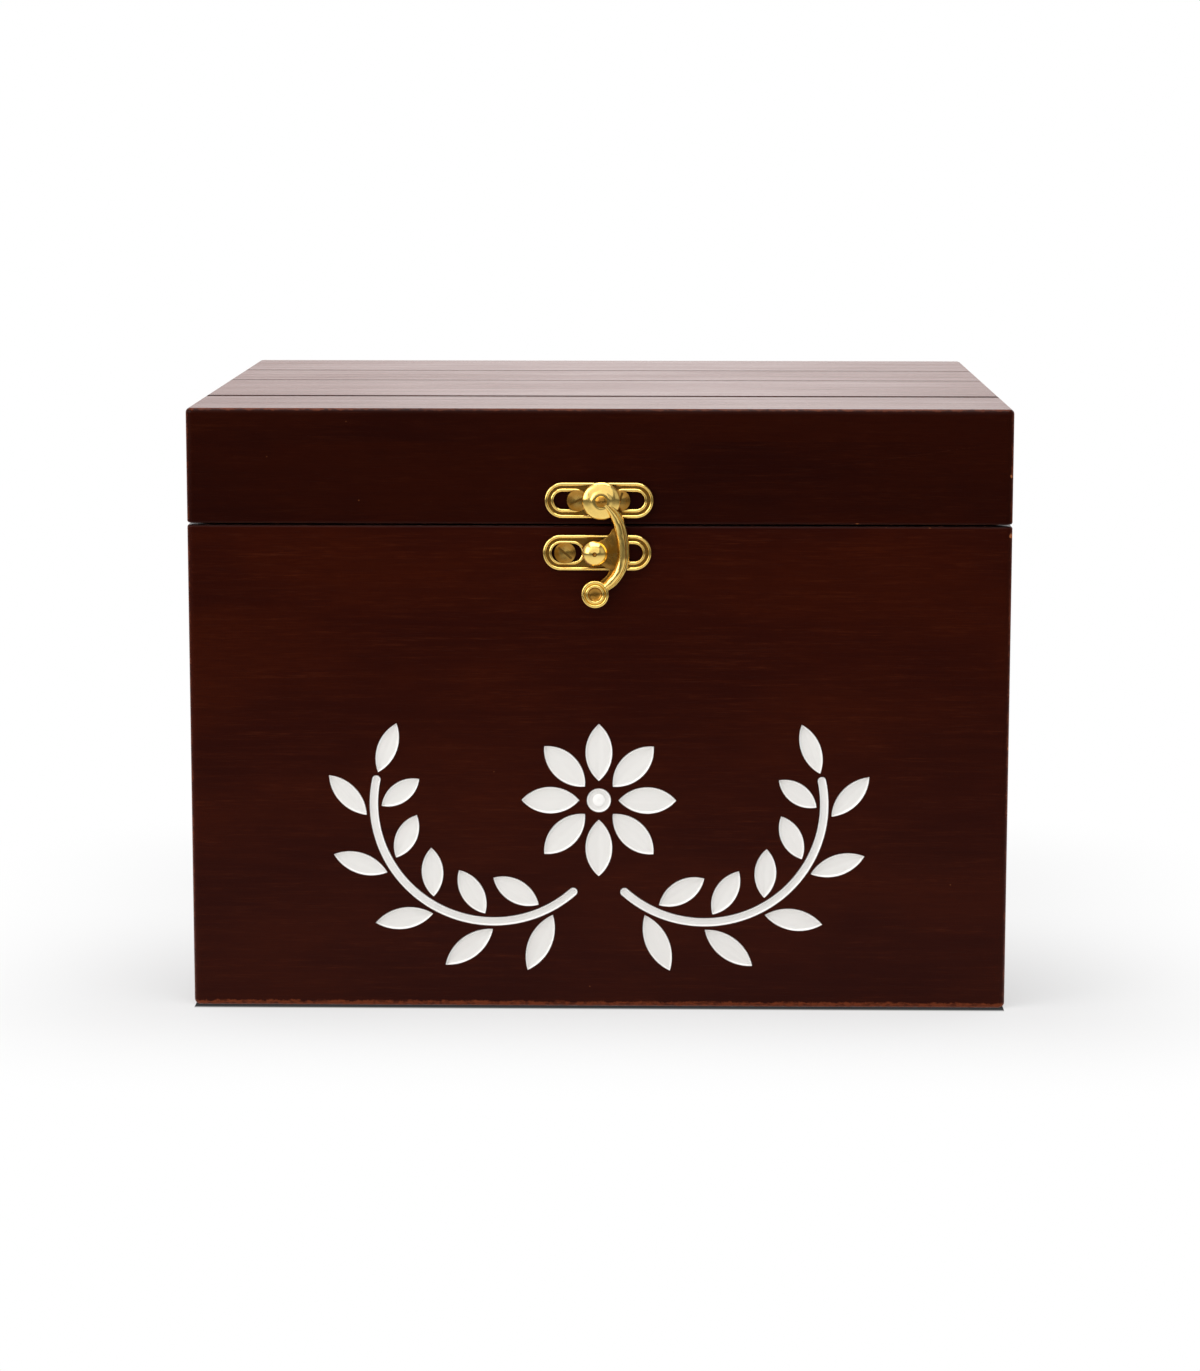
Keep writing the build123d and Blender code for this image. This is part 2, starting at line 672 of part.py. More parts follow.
# ---------------------------------------------------------------- the whole box
def build_nodes():
    """Every sub-part, under the name of its node."""
    body = mitred_walls(body_ring(), 0, body_height)
    rails = mitred_walls(lid_ring(), lid_low_z, lid_board_z)
    nodes = {}

    body_bores = latch_screw_pair(fixing_clearance, body_screw_setouts, body_screw_turns)
    keeper_cuts = [body_plate_plane * bore for bore in body_bores]
    keeper_cuts.append(latch_keeper_plane * disc(rivet_radius + fixing_clearance, -stud_tail, 0))
    lid_bores = latch_screw_pair(fixing_clearance, lid_screw_setouts, lid_screw_turns)
    pivot_cuts = [lid_plate_plane * bore for bore in lid_bores]
    pivot_cuts.append(latch_pivot_plane * disc(rivet_radius + fixing_clearance, -rivet_tail, 0))
    body["front"] -= keeper_cuts + inlay_solids(inlay_gap, inlay_depth)
    rails["front"] -= pivot_cuts

    body_screws = []
    lid_screws = []
    for hand, x_centre in hinge_centres().items():
        nodes[f"{hand}_hinge_body_leaf"] = hinge_leaf(x_centre, "body")
        nodes[f"{hand}_hinge_lid_leaf"] = hinge_leaf(x_centre, "lid")
        nodes[f"{hand}_hinge_pin"] = hinge_pin(x_centre)
        body["back"] -= hinge_room(x_centre, "body")
        rails["back"] -= hinge_room(x_centre, "lid")
        body_screws += [place * countersunk_screw(0, True) for place in hinge_screw_places(x_centre, "body")]
        lid_screws += [place * countersunk_screw(0, True) for place in hinge_screw_places(x_centre, "lid")]

    nodes["front_panel"] = body["front"]
    nodes["back_panel"] = body["back"]
    nodes["left_side_panel"] = body["left"]
    nodes["right_side_panel"] = body["right"]
    nodes["bottom_panel"] = bottom_panel()
    nodes["front_inlay"] = Compound(children=inlay_solids(0, -inlay_recess))
    for side, rail in rails.items():
        nodes[f"lid_{side}_rail"] = rail
    for name, board in lid_boards().items():
        nodes[f"lid_{name}_board"] = board
    nodes["hinge_body_screws"] = Compound(children=body_screws)
    nodes["hinge_lid_screws"] = Compound(children=lid_screws)
    nodes["latch_lid_plate"] = lid_plate_plane * latch_lid_plate()
    nodes["latch_body_plate"] = body_plate_plane * latch_body_plate()
    nodes["latch_hook"] = latch_pivot_plane * latch_hook()
    nodes["latch_pivot_rivet"] = latch_pivot_plane * pivot_rivet()
    nodes["latch_keeper_stud"] = latch_keeper_plane * keeper_stud()
    lid_pair = latch_screw_pair(0, lid_screw_setouts, lid_screw_turns)
    body_pair = latch_screw_pair(0, body_screw_setouts, body_screw_turns)
    nodes["latch_lid_screws"] = Compound(children=[lid_plate_plane * screw for screw in lid_pair])
    nodes["latch_body_screws"] = Compound(children=[body_plate_plane * screw for screw in body_pair])
    return nodes


os.makedirs("parts", exist_ok=True)
for node_name, shape in build_nodes().items():
    export_step(shape, f"parts/{node_name}.step")
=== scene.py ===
"""Dresses a hinged wooden recipe card box: stained boards, a white inlay and a brass hook latch."""

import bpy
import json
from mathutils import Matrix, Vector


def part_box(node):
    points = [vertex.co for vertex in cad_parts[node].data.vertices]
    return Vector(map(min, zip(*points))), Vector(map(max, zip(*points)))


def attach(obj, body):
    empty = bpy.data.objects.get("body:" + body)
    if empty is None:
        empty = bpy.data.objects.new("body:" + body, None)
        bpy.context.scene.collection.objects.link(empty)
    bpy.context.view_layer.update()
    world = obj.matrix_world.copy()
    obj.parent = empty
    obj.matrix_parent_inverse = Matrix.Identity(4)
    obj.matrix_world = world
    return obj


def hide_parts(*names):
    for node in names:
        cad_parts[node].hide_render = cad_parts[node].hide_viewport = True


bl_info = {
    "name": "Recipe Card Box",
    "version": (1, 0, 0),
    "blender": (4, 5, 0),
    "location": "View3D > Sidebar > Card Box",
    "description": "Finishes the box's woodwork, inlay, hinges and hook latch, and sets a plain stage",
    "category": "Object",
}

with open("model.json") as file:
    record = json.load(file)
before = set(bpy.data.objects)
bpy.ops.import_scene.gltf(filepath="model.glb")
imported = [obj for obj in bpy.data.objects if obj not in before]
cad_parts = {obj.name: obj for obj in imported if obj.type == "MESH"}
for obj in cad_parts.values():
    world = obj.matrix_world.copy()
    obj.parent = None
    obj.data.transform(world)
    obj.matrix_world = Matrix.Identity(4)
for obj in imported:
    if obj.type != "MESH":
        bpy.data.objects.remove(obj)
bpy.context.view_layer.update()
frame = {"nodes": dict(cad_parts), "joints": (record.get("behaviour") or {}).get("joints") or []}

import json
import math

import bmesh
import bpy
from bpy.props import FloatProperty, FloatVectorProperty, IntProperty, PointerProperty
from mathutils import Matrix, Vector

NODES = frame["nodes"]
BODY_BOX = (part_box("left_side_panel")[0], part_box("right_side_panel")[1])
LID_BOX = (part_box("lid_left_rail")[0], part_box("lid_back_board")[1])
SEAM_HEIGHT = (BODY_BOX[1][2] + LID_BOX[0][2]) / 2
FRONT_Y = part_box("front_panel")[0].y
PIVOT = next(joint["pos_m"] for joint in frame["joints"] if joint["name"] == "hook_swing")
WHITE = (1.0, 1.0, 1.0)
MM = 0.001
CREASE_ANGLE = math.radians(38.0)
FLOOR_SINK = 0.00005
FOOTPRINT = (0.0886, 0.0766, 0.0)
LAMP_TARGET = Vector((0.0, 0.0, 0.07))
RIVET_PIT_RADIUS = 0.0016
STUD_PIT_RADIUS = 0.00055
EYE_BEAD_WIDTH = 0.55
EYE_BEAD_RISE = 0.8
BEAD_CROWN = 0.34
BEAD_FLANK = 0.12
BEAD_EDGE = 0.04
BEAD_FOOT = 0.8
# Heights above the front between which a latch brass turns from tarnished to bright; the darkening in the
# hollows is partly real tarnish and partly painted shade.
BRASS_TARNISH_AND_SHADE = {
    "polished_brass_screw": (0.00140, 0.00190),
    "aged_brass_rivet": (0.0034, 0.0040),
    "polished_brass_stud": (0.0024, 0.0030),
    "polished_brass_plate": (0.00055, 0.00100),
    "polished_brass_hook": (0.0018, 0.0024),
    "aged_brass_blade": (0.0027, 0.0031),
}


# ---------------------------------------------------------------- settings
def kind_of(maker, **fixed):
    """A short call for the settings of one kind, with a name, a description and a default."""
    return lambda name, description, default: maker(
        name=name, description=description, default=default, **fixed
    )


length = kind_of(FloatProperty, min=0.0, precision=5, unit="LENGTH")
share = kind_of(FloatProperty, min=0.0, max=1.0, subtype="FACTOR")
number = kind_of(FloatProperty, min=0.0)
power = kind_of(FloatProperty, min=0.0, unit="POWER")
focal_length = kind_of(FloatProperty, unit="CAMERA")
colour = kind_of(FloatVectorProperty, size=3, min=0.0, max=1.0, subtype="COLOR")
place_in_room = kind_of(FloatVectorProperty, size=3, subtype="TRANSLATION")


def angle(name, description, degrees):
    """An angle, given in degrees and kept in radians."""
    return FloatProperty(
        name=name, description=description, default=math.radians(degrees), subtype="ANGLE"
    )


class WoodSettings(bpy.types.PropertyGroup):
    """Colours and grain of the stained boards."""

    deep_stain: colour("Deep stain", "The darkest stain between the fibres", (0.0135, 0.0012, 0.0003))
    stain: colour("Stain", "The stain over most of a board", (0.0248, 0.0029, 0.0004))
    # Painted shade: near-black colour painted into the seam, standing in for the shadow in the gap between
    # lid and box.
    pooled_stain: colour("Pooled stain", "Stain that has run into the seam", (0.0010, 0.0003, 0.0001))
    pale_fibre: colour("Pale fibre", "Fibres that took less stain", (0.060, 0.0125, 0.0040))
    # Partly real wear, partly a painted highlight on the rounded arrises and along the foot.
    worn_arris: colour("Worn arris", "Wood that shows where the stain has rubbed off", (0.135, 0.029, 0.0095))
    chip: colour("Chip", "Bare wood in the small chips along an arris", (0.300, 0.100, 0.035))
    plywood: colour("Plywood", "The stained plywood of the bottom", (0.060, 0.018, 0.009))
    ring_width: length("Ring width", "Distance between two year rings", 0.0022)
    ring_wander: length("Ring wander", "How far a year ring strays from a circle", 0.004)
    fibre_width: length("Fibre width", "Width of the broad fibre streaks", 0.0005)
    fibre_length: length("Fibre length", "Length of the broad fibre streaks", 0.012)
    wear_width: length("Wear width", "How far wear reaches from an arris", 0.0010)
    base_wear_width: length("Base wear width", "How far wear reaches up from the underside", 0.0017)
    rim_roll: number("Rim roll", "Slope of the rolled outer edge of a rim", 2.5)
    rim_roll_width: length("Rim roll width", "How far the rolled edge reaches into a rim", 0.0036)
    relief: length("Relief", "Height of the fibres under the lacquer", 0.000012)
    gloss_level: share("Gloss level", "Specular level of the satin lacquer", 0.046)
    top_film: share("Top film", "Weight of the thicker lacquer film on upward faces", 0.23)
    haze: share("Haze", "Reddish haze of the rubbed lacquer", 0.24)
    haze_tint: colour("Haze tint", "Colour of the haze", (1.0, 0.32, 0.22))


class BrassSettings(bpy.types.PropertyGroup):
    """Colours and polish of the hardware."""

    polished: colour("Polished", "Bright brass on the crests", (0.95, 0.66, 0.185))
    # Real tarnish on the hinges; on the latch the same colour also paints the shade in hollows and recesses.
    tarnished: colour("Tarnished", "Older brass in the hollows", (0.30, 0.125, 0.011))
    satin: colour("Satin", "The duller brass of the hinges", (0.70, 0.44, 0.13))
    polish_roughness: share("Polish", "Roughness of the polished latch", 0.14)
    satin_roughness: share("Satin roughness", "Roughness of the hinges", 0.33)
    lacquer: share("Lacquer", "Weight of the clear lacquer on the latch", 0.05)
    scratch_height: length("Scratch height", "Height of the polishing marks", 0.0000015)
    cast_height: length("Cast height", "Unevenness left by the casting", 0.00006)


class InlaySettings(bpy.types.PropertyGroup):
    """The white flower and sprays let into the front."""

    enamel: colour("Enamel", "The white filling", (0.70, 0.682, 0.656))
    # Painted highlight: the lighter colour on the filling's slopes stands in for the light they catch.
    rim_glaze: colour("Rim glaze", "The brighter glaze on the filling's slopes", (0.84, 0.825, 0.80))
    centre_height: length("Centre height", "Height of the flower's centre above the underside", 0.046)
    pocket_depth: length("Pocket depth", "Depth of the pockets", 0.0012)
    rim_recess: length("Rim recess", "How far the filling's rim lies below the front", 0.00012)
    dish_depth: length("Dish depth", "How far the filling's middle lies below its rim", 0.00042)
    rim_width: length("Rim width", "Width of the slope inside the rim", 0.00046)
    vein_depth: length("Vein depth", "Depth of the line along a leaf", 0.00012)
    vein_width: length("Vein width", "Width of the line along a leaf", 0.00022)
    petals: IntProperty(name="Petals", description="Number of petals", default=8, min=3, max=24)
    petal_length: length("Petal length", "Length of a petal", 0.0125)
    petal_width: length("Petal width", "Width of a petal", 0.0058)
    petal_start: length("Petal start", "Distance of a petal's foot from the centre", 0.0043)
    eye_radius: length("Eye radius", "Radius of the flower's eye", 0.0026)
    spray_centre_x: length("Spray centre", "How far a spray's centre lies from the flower's", 0.023)
    spray_centre_drop: length("Spray drop", "How far a spray's centre lies below the flower's", 0.001)
    spray_radius: length("Spray radius", "Radius of a spray's stem", 0.026)
    spray_start: angle("Spray start", "Where a stem starts", -132.0)
    spray_end: angle("Spray end", "Where a stem ends", 12.0)
    spray_pairs: IntProperty(name="Leaf pairs", description="Leaf pairs on a spray", default=5, min=1, max=12)
    spray_tail: number("Spray tail", "Bare stem at the tip, in leaf steps", 0.6)
    stem_width: length("Stem width", "Width of a stem", 0.0018)
    outer_leaf_length: length("Outer leaf length", "Length of a leaf on the outside", 0.0135)
    inner_leaf_length: length("Inner leaf length", "Length of a leaf on the inside", 0.0115)
    leaf_width: length("Leaf width", "Width of a leaf", 0.005)
    leaf_taper: share("Leaf taper", "How much smaller the leaves get towards the tip", 0.15)
    outer_splay: angle("Outer splay", "Angle between an outer leaf and the stem", 38.0)
    inner_splay: angle("Inner splay", "Angle between an inner leaf and the stem", 55.0)
    inner_lead: angle("Inner lead", "How far an inner leaf is ahead of its partner", 4.0)
    leaf_clear: length("Leaf clearance", "Gap between a leaf and the stem", 0.0008)
    tip_lean: angle("Tip lean", "How far the tip leaf leans inwards", 5.0)


class LatchSettings(bpy.types.PropertyGroup):
    """Sizes of the two plates and the hook."""

    plate_length: length("Plate length", "Length of a plate", 0.0234)
    plate_height: length("Plate height", "Height of a plate", 0.0077)
    plate_thickness: length("Plate thickness", "Thickness of the flat of a plate", 0.0006)
    bead_height: length("Bead height", "Height of the beads", 0.0011)
    bead_width: length("Bead width", "Width of the beads", 0.00075)
    groove_width: length("Groove width", "Width of the groove between two beads", 0.0005)
    slot_inner: length("Slot inner centre", "Inner end centre of a slot from the middle", 0.0052)
    seat_radius: length("Seat radius", "Radius of the seat under the hook", 0.0015)
    seat_height: length("Seat height", "Height of the seat under the hook", 0.00165)
    hook_gap: length("Hook gap", "Clearance between the seat and the hook", 0.0001)
    hub_height: length("Hub height", "Height of the collar above the hook's back", 0.00184)
    collar_radius: length("Collar radius", "Radius of the collar under the rivet's head", 0.0011)
    arm_height: length("Arm height", "Height of the arm's ridge", 0.0021)
    arm_width: length("Arm width", "Width of the arm at its widest", 0.0027)
    arm_reach: length("Arm reach", "How far the arm bows out from the pivot", 0.0048)
    upper_radius: length("Upper radius", "Bend of the arm above the keeper", 0.0214)
    upper_angle: angle("Upper angle", "Turn of the arm above the keeper", 15.8)
    neck_radius: length("Neck radius", "Bend of the arm where it leaves the boss", 0.0095)
    neck_angle: angle("Neck angle", "Turn of the arm where it leaves the boss", 36.2)
    lower_radius: length("Lower radius", "Bend of the arm below the keeper", 0.0088)
    lower_angle: angle("Lower angle", "Turn of the arm below the keeper", 58.0)
    keeper_drop: length("Keeper drop", "How far the keeper lies below the pivot", 0.0113)
    keeper_offset: length("Keeper offset", "How far the keeper lies left of the pivot", 0.0014)
    neck_room: length("Neck room", "Half the width of the notch for the keeper's neck", 0.00135)
    blade_thickness: length("Blade thickness", "Thickness of the blade", 0.0007)
    blade_easing: length("Blade easing", "Rounding of the blade's upper edge", 0.00018)


class StageSettings(bpy.types.PropertyGroup):
    """Camera, lamps and floor."""

    camera_place: place_in_room("Camera place", "Where the camera stands", (0.01394, -0.89035, 0.19696))
    camera_yaw: angle("Camera yaw", "Turn of the camera to the right", -0.965)
    camera_pitch: angle("Camera pitch", "How far the camera looks down", 8.773)
    camera_roll: angle("Camera roll", "Roll of the camera", 0.049)
    camera_lens: focal_length("Lens", "Focal length for a 36 mm sensor", 99.95)
    floor_radius: length("Floor radius", "Radius of the floor", 3.0)
    floor_shade: share("Floor shade", "How pale the floor is", 0.62)
    floor_bounce: share("Floor bounce", "How pale the floor is to the box", 0.90)
    overhead_power: power("Overhead lamp", "Power of the lamp above", 12.0)
    front_power: power("Front lamp", "Power of the lamp above the camera", 4.0)
    back_power: power("Back lamp", "Power of the lamp behind the box", 3.0)
    left_power: power("Left lamp", "Power of the lamp on the left", 7.5)
    right_power: power("Right lamp", "Power of the lamp on the right", 0.6)
    fill_level: share("Fill", "Brightness of the room for plain light", 0.25)
    front_reflection: share("Front reflection", "Brightness ahead of the box, as a mirror sees it", 0.03)
    left_reflection: share("Left reflection", "Brightness left of the box, as a mirror sees it", 0.8)
    right_reflection: share("Right reflection", "Brightness right of the box, as a mirror sees it", 0.25)
    screen_falloff: share("Screen falloff", "Brightness of the ends of the screen behind, in a mirror", 0.68)


SETTINGS = {
    "card_box_wood": WoodSettings,
    "card_box_brass": BrassSettings,
    "card_box_inlay": InlaySettings,
    "card_box_latch": LatchSettings,
    "card_box_stage": StageSettings,
}


# ---------------------------------------------------------------- node helpers
class Wire:
    """What leaves a node's socket. A sum on it adds the node that works it out."""

    def __init__(self, bench, socket):
        self.bench, self.socket = bench, socket

    def sum(self, operation, *others):
        """A sum with others, on vectors unless this is a plain value."""
        if self.socket.type == "VALUE":
            return self.bench.math(operation, self, *others)
        sockets = dict(enumerate((self, *others)))
        output = "Value" if operation == "LENGTH" else "Vector"
        return self.bench.wire("ShaderNodeVectorMath", sockets, output, operation=operation)

    def __add__(self, other):
        return self.sum("ADD", other)

    def __sub__(self, other):
        return self.sum("SUBTRACT", other)

    def __rsub__(self, other):
        return self.bench.math("SUBTRACT", other, self)

    def __mul__(self, other):
        return self.sum("MULTIPLY", other)

    def __truediv__(self, other):
        return self.sum("DIVIDE", other)

    def __abs__(self):
        return self.sum("ABSOLUTE")

    def least(self, other):
        """The lesser of two."""
        return self.sum("MINIMUM", other)

    def most(self, other):
        """The greater of two."""
        return self.sum("MAXIMUM", other)

    def parts(self):
        """The X, Y and Z of a vector."""
        node = self.bench.node("ShaderNodeSeparateXYZ", {0: self})
        return [Wire(self.bench, socket) for socket in node.outputs]

    def eased(self, low, high, first=0.0, last=1.0):
        """A smooth step from one value to another."""
        sockets = {0: self, 1: low, 2: high, 3: first, 4: last}
        return self.bench.wire("ShaderNodeMapRange", sockets, interpolation_type="SMOOTHSTEP")

    def noise(self, scale=1.0, detail=2.0, roughness=0.5, output="Fac"):
        """Smooth noise at this place."""
        sockets = {"Vector": self, "Scale": scale, "Detail": detail, "Roughness": roughness}
        return self.bench.wire("ShaderNodeTexNoise", sockets, output)


class Bench:
    """A node tree with short calls that add a node and join its sockets."""

    def __init__(self, tree):
        self.tree = tree

    def feed(self, socket, value):
        """Join a socket to a wire, or set its own value."""
        if isinstance(value, Wire):
            self.tree.links.new(value.socket, socket)
        elif socket.type == "RGBA" and len(value) == 3:
            socket.default_value = (*value, 1.0)
        else:
            socket.default_value = value

    def node(self, kind, sockets=None, **choices):
        """Add a node with its choices and its sockets' values."""
        node = self.tree.nodes.new(kind)
        for name, value in choices.items():
            setattr(node, name, value)
        for key, value in (sockets or {}).items():
            self.feed(node.inputs[key], value)
        return node

    def wire(self, kind, sockets=None, output=0, **choices):
        """Add a node, for one of its outputs."""
        return Wire(self, self.node(kind, sockets, **choices).outputs[output])

    def wires(self, kind, sockets=None, **choices):
        """Add a node, for all its outputs by name."""
        outputs = self.node(kind, sockets, **choices).outputs
        return {socket.name: Wire(self, socket) for socket in outputs}

    def math(self, operation, *values):
        """A sum on plain values."""
        return self.wire("ShaderNodeMath", dict(enumerate(values)), operation=operation)

    def whole(self, x, y, z):
        """A vector from its X, Y and Z."""
        return self.wire("ShaderNodeCombineXYZ", {0: x, 1: y, 2: z})

    def layered(self, body, *layers):
        """A colour with others laid over it, each as (amount, colour)."""
        for amount, colour_above in layers:
            sockets = {"Factor": amount, 6: body, 7: colour_above}
            body = self.wire("ShaderNodeMix", sockets, 2, data_type="RGBA")
        return body

    def place(self):
        """The point on the object, in metres from the box's origin."""
        return self.wire("ShaderNodeTexCoord", output="Object")

    def rays(self):
        """Whether a ray comes from the camera, and whether it comes by a mirror or a pane."""
        ray = self.wires("ShaderNodeLightPath")
        return ray["Is Camera Ray"], ray["Is Glossy Ray"].most(ray["Is Transmission Ray"])

    def white_light(self, kind, strength):
        """White light of a strength, for the floor or the room."""
        return self.wire(kind, {"Color": WHITE, "Strength": strength})


def new_group(name, vectors, values, results):
    """A shader node group with named sockets: its bench and the wires of its inputs."""
    tree = bpy.data.node_groups.new(name, "ShaderNodeTree")
    for names, way, kind in (
        (vectors, "INPUT", "NodeSocketVector"),
        (values, "INPUT", "NodeSocketFloat"),
        (results, "OUTPUT", "NodeSocketFloat"),
    ):
        for socket in names:
            tree.interface.new_socket(name=socket, in_out=way, socket_type=kind)
    bench = Bench(tree)
    return bench, bench.wires("NodeGroupInput")


def use_group(bench, maker, sockets):
    """Place a group in a material with its own values, building it the first time."""
    tree = bpy.data.node_groups.get(maker.__name__) or maker(maker.__name__)
    return bench.wires("ShaderNodeGroup", sockets, node_tree=tree)


def timber_grain(name):
    """Solid timber: year rings about the local X axis, fibres and pores along it."""
    bench, given = new_group(
        name, ("Place",), ("Ring Width", "Ring Wander", "Fibre Width", "Fibre Length"),
        ("Rings", "Bands", "Fibres", "Fine Fibres", "Pores", "Height"),
    )
    place = given["Place"]
    drift = (place * (7.0, 30.0, 30.0)).noise(output="Color") - (0.5, 0.5, 0.5)
    bent = (place + drift * given["Ring Wander"]) * (0.0, 1.0, 1.0)
    phase = bent.sum("LENGTH") / given["Ring Width"]
    part = phase.sum("FRACT")
    year = bench.wire("ShaderNodeTexWhiteNoise", {"W": phase.sum("FLOOR")}, "Value", noise_dimensions="1D")
    late_wood = part.eased(0.30, 0.90) * part.eased(0.90, 1.0, 1.0, 0.0)

    stretched = place / bench.whole(given["Fibre Length"], given["Fibre Width"], given["Fibre Width"])
    fibres = stretched.noise(0.5, 3.0, 0.6)
    fine = (stretched + (3.1, 7.7, 5.3)).noise(2.3, 3.0, 0.65)
    pores = (stretched * (3.0, 3.4, 3.4)).noise(1.0, 1.0).eased(0.62, 0.74)
    bench.node("NodeGroupOutput", {
        "Rings": late_wood * (year * 0.75 + 0.25),
        "Bands": (place * (7.0, 400.0, 480.0)).noise(1.0, 3.0).eased(0.38, 0.62),
        "Fibres": fibres,
        "Fine Fibres": fine,
        "Pores": pores,
        "Height": (fine + fibres) * 0.5 - pores * 0.2,
    })
    return bench.tree


def arris_wear(name):
    """How far the stain has rubbed off along the arrises of a box; the same masks also paint a highlight
    along their rounding and along the foot.
    """
    bench, given = new_group(
        name, ("Place", "Low Corner", "High Corner"), ("Width", "Base Width", "Top Stretch"),
        ("Wear", "Base Wear", "Chips", "Inwards"),
    )
    place = given["Place"]
    above = place - given["Low Corner"]
    below = (given["High Corner"] - place) * bench.whole(1.0, 1.0, given["Top Stretch"])
    x, y, z = abs((above * (1.0, 1.0, 2.6)).least(below)).parts()
    nearest = x.least(y)
    from_arris = nearest.most(x.most(y).least(z))
    ragged = place.noise(420.0, 4.0, 0.7)
    reach = given["Width"] * ragged.eased(0.30, 0.75, 0.15, 1.0)
    rubbed = (from_arris / reach).eased(0.25, 1.0, 1.0, 0.0)
    foot_reach = given["Base Width"] * ragged.eased(0.25, 0.70, 0.55, 1.0)
    scuffed_and_highlit = (above.parts()[2] / foot_reach).eased(0.70, 1.0, 1.0, 0.0)
    flecks = (place * (900.0, 900.0, 1500.0)).noise()
    chips = place.noise(330.0, 1.0).eased(0.70, 0.73) * from_arris.eased(0.0006, 0.0009, 1.0, 0.0)
    dust = bench.wire("ShaderNodeTexVoronoi", {"Vector": place, "Scale": 110.0}, "Distance")
    bench.node("NodeGroupOutput", {
        "Wear": rubbed * place.noise(38.0).eased(0.35, 0.62, 0.45, 1.0),
        "Base Wear": scuffed_and_highlit * flecks.eased(0.32, 0.62, 0.35, 1.0),
        "Chips": chips.most(dust.eased(0.010, 0.022, 0.25, 0.0)),
        "Inwards": nearest,
    })
    return bench.tree


def handling_marks(name):
    """Faint smears and polishing marks, for the roughness and the relief of a finish."""
    bench, given = new_group(
        name, ("Place",), ("Smear Scale", "Mark Scale", "Cast Scale"), ("Smears", "Marks", "Cast")
    )
    place = given["Place"]
    along = (place * (0.15, 1.0, 1.0)).noise(given["Mark Scale"])
    upright = (place * (1.0, 1.0, 0.15)).noise(given["Mark Scale"])
    bench.node("NodeGroupOutput", {
        "Smears": place.noise(given["Smear Scale"], 3.0, 0.6).eased(0.3, 0.7),
        "Marks": along * upright,
        "Cast": place.noise(given["Cast Scale"], 1.0, 0.4),
    })
    return bench.tree


def empty_bench(owner):
    """The bench of a material or a world, cleared of its first nodes."""
    owner.use_nodes = True
    owner.node_tree.nodes.clear()
    return Bench(owner.node_tree)


def new_material(name):
    """An empty material and its bench."""
    material = bpy.data.materials.new(name)
    return material, empty_bench(material)


def end_material(bench, height, distance, sockets):
    """Close a material with a Principled shader over a relief."""
    relief = {"Height": height, "Distance": distance, "Strength": 1.0}
    sockets["Normal"] = bench.wire("ShaderNodeBump", relief)
    shader = bench.wire("ShaderNodeBsdfPrincipled", sockets)
    bench.node("ShaderNodeOutputMaterial", {"Surface": shader})


def dress(material, *nodes):
    """Give CAD nodes a material in place of their own."""
    for node in nodes:
        NODES[node].data.materials.clear()
        NODES[node].data.materials.append(material)


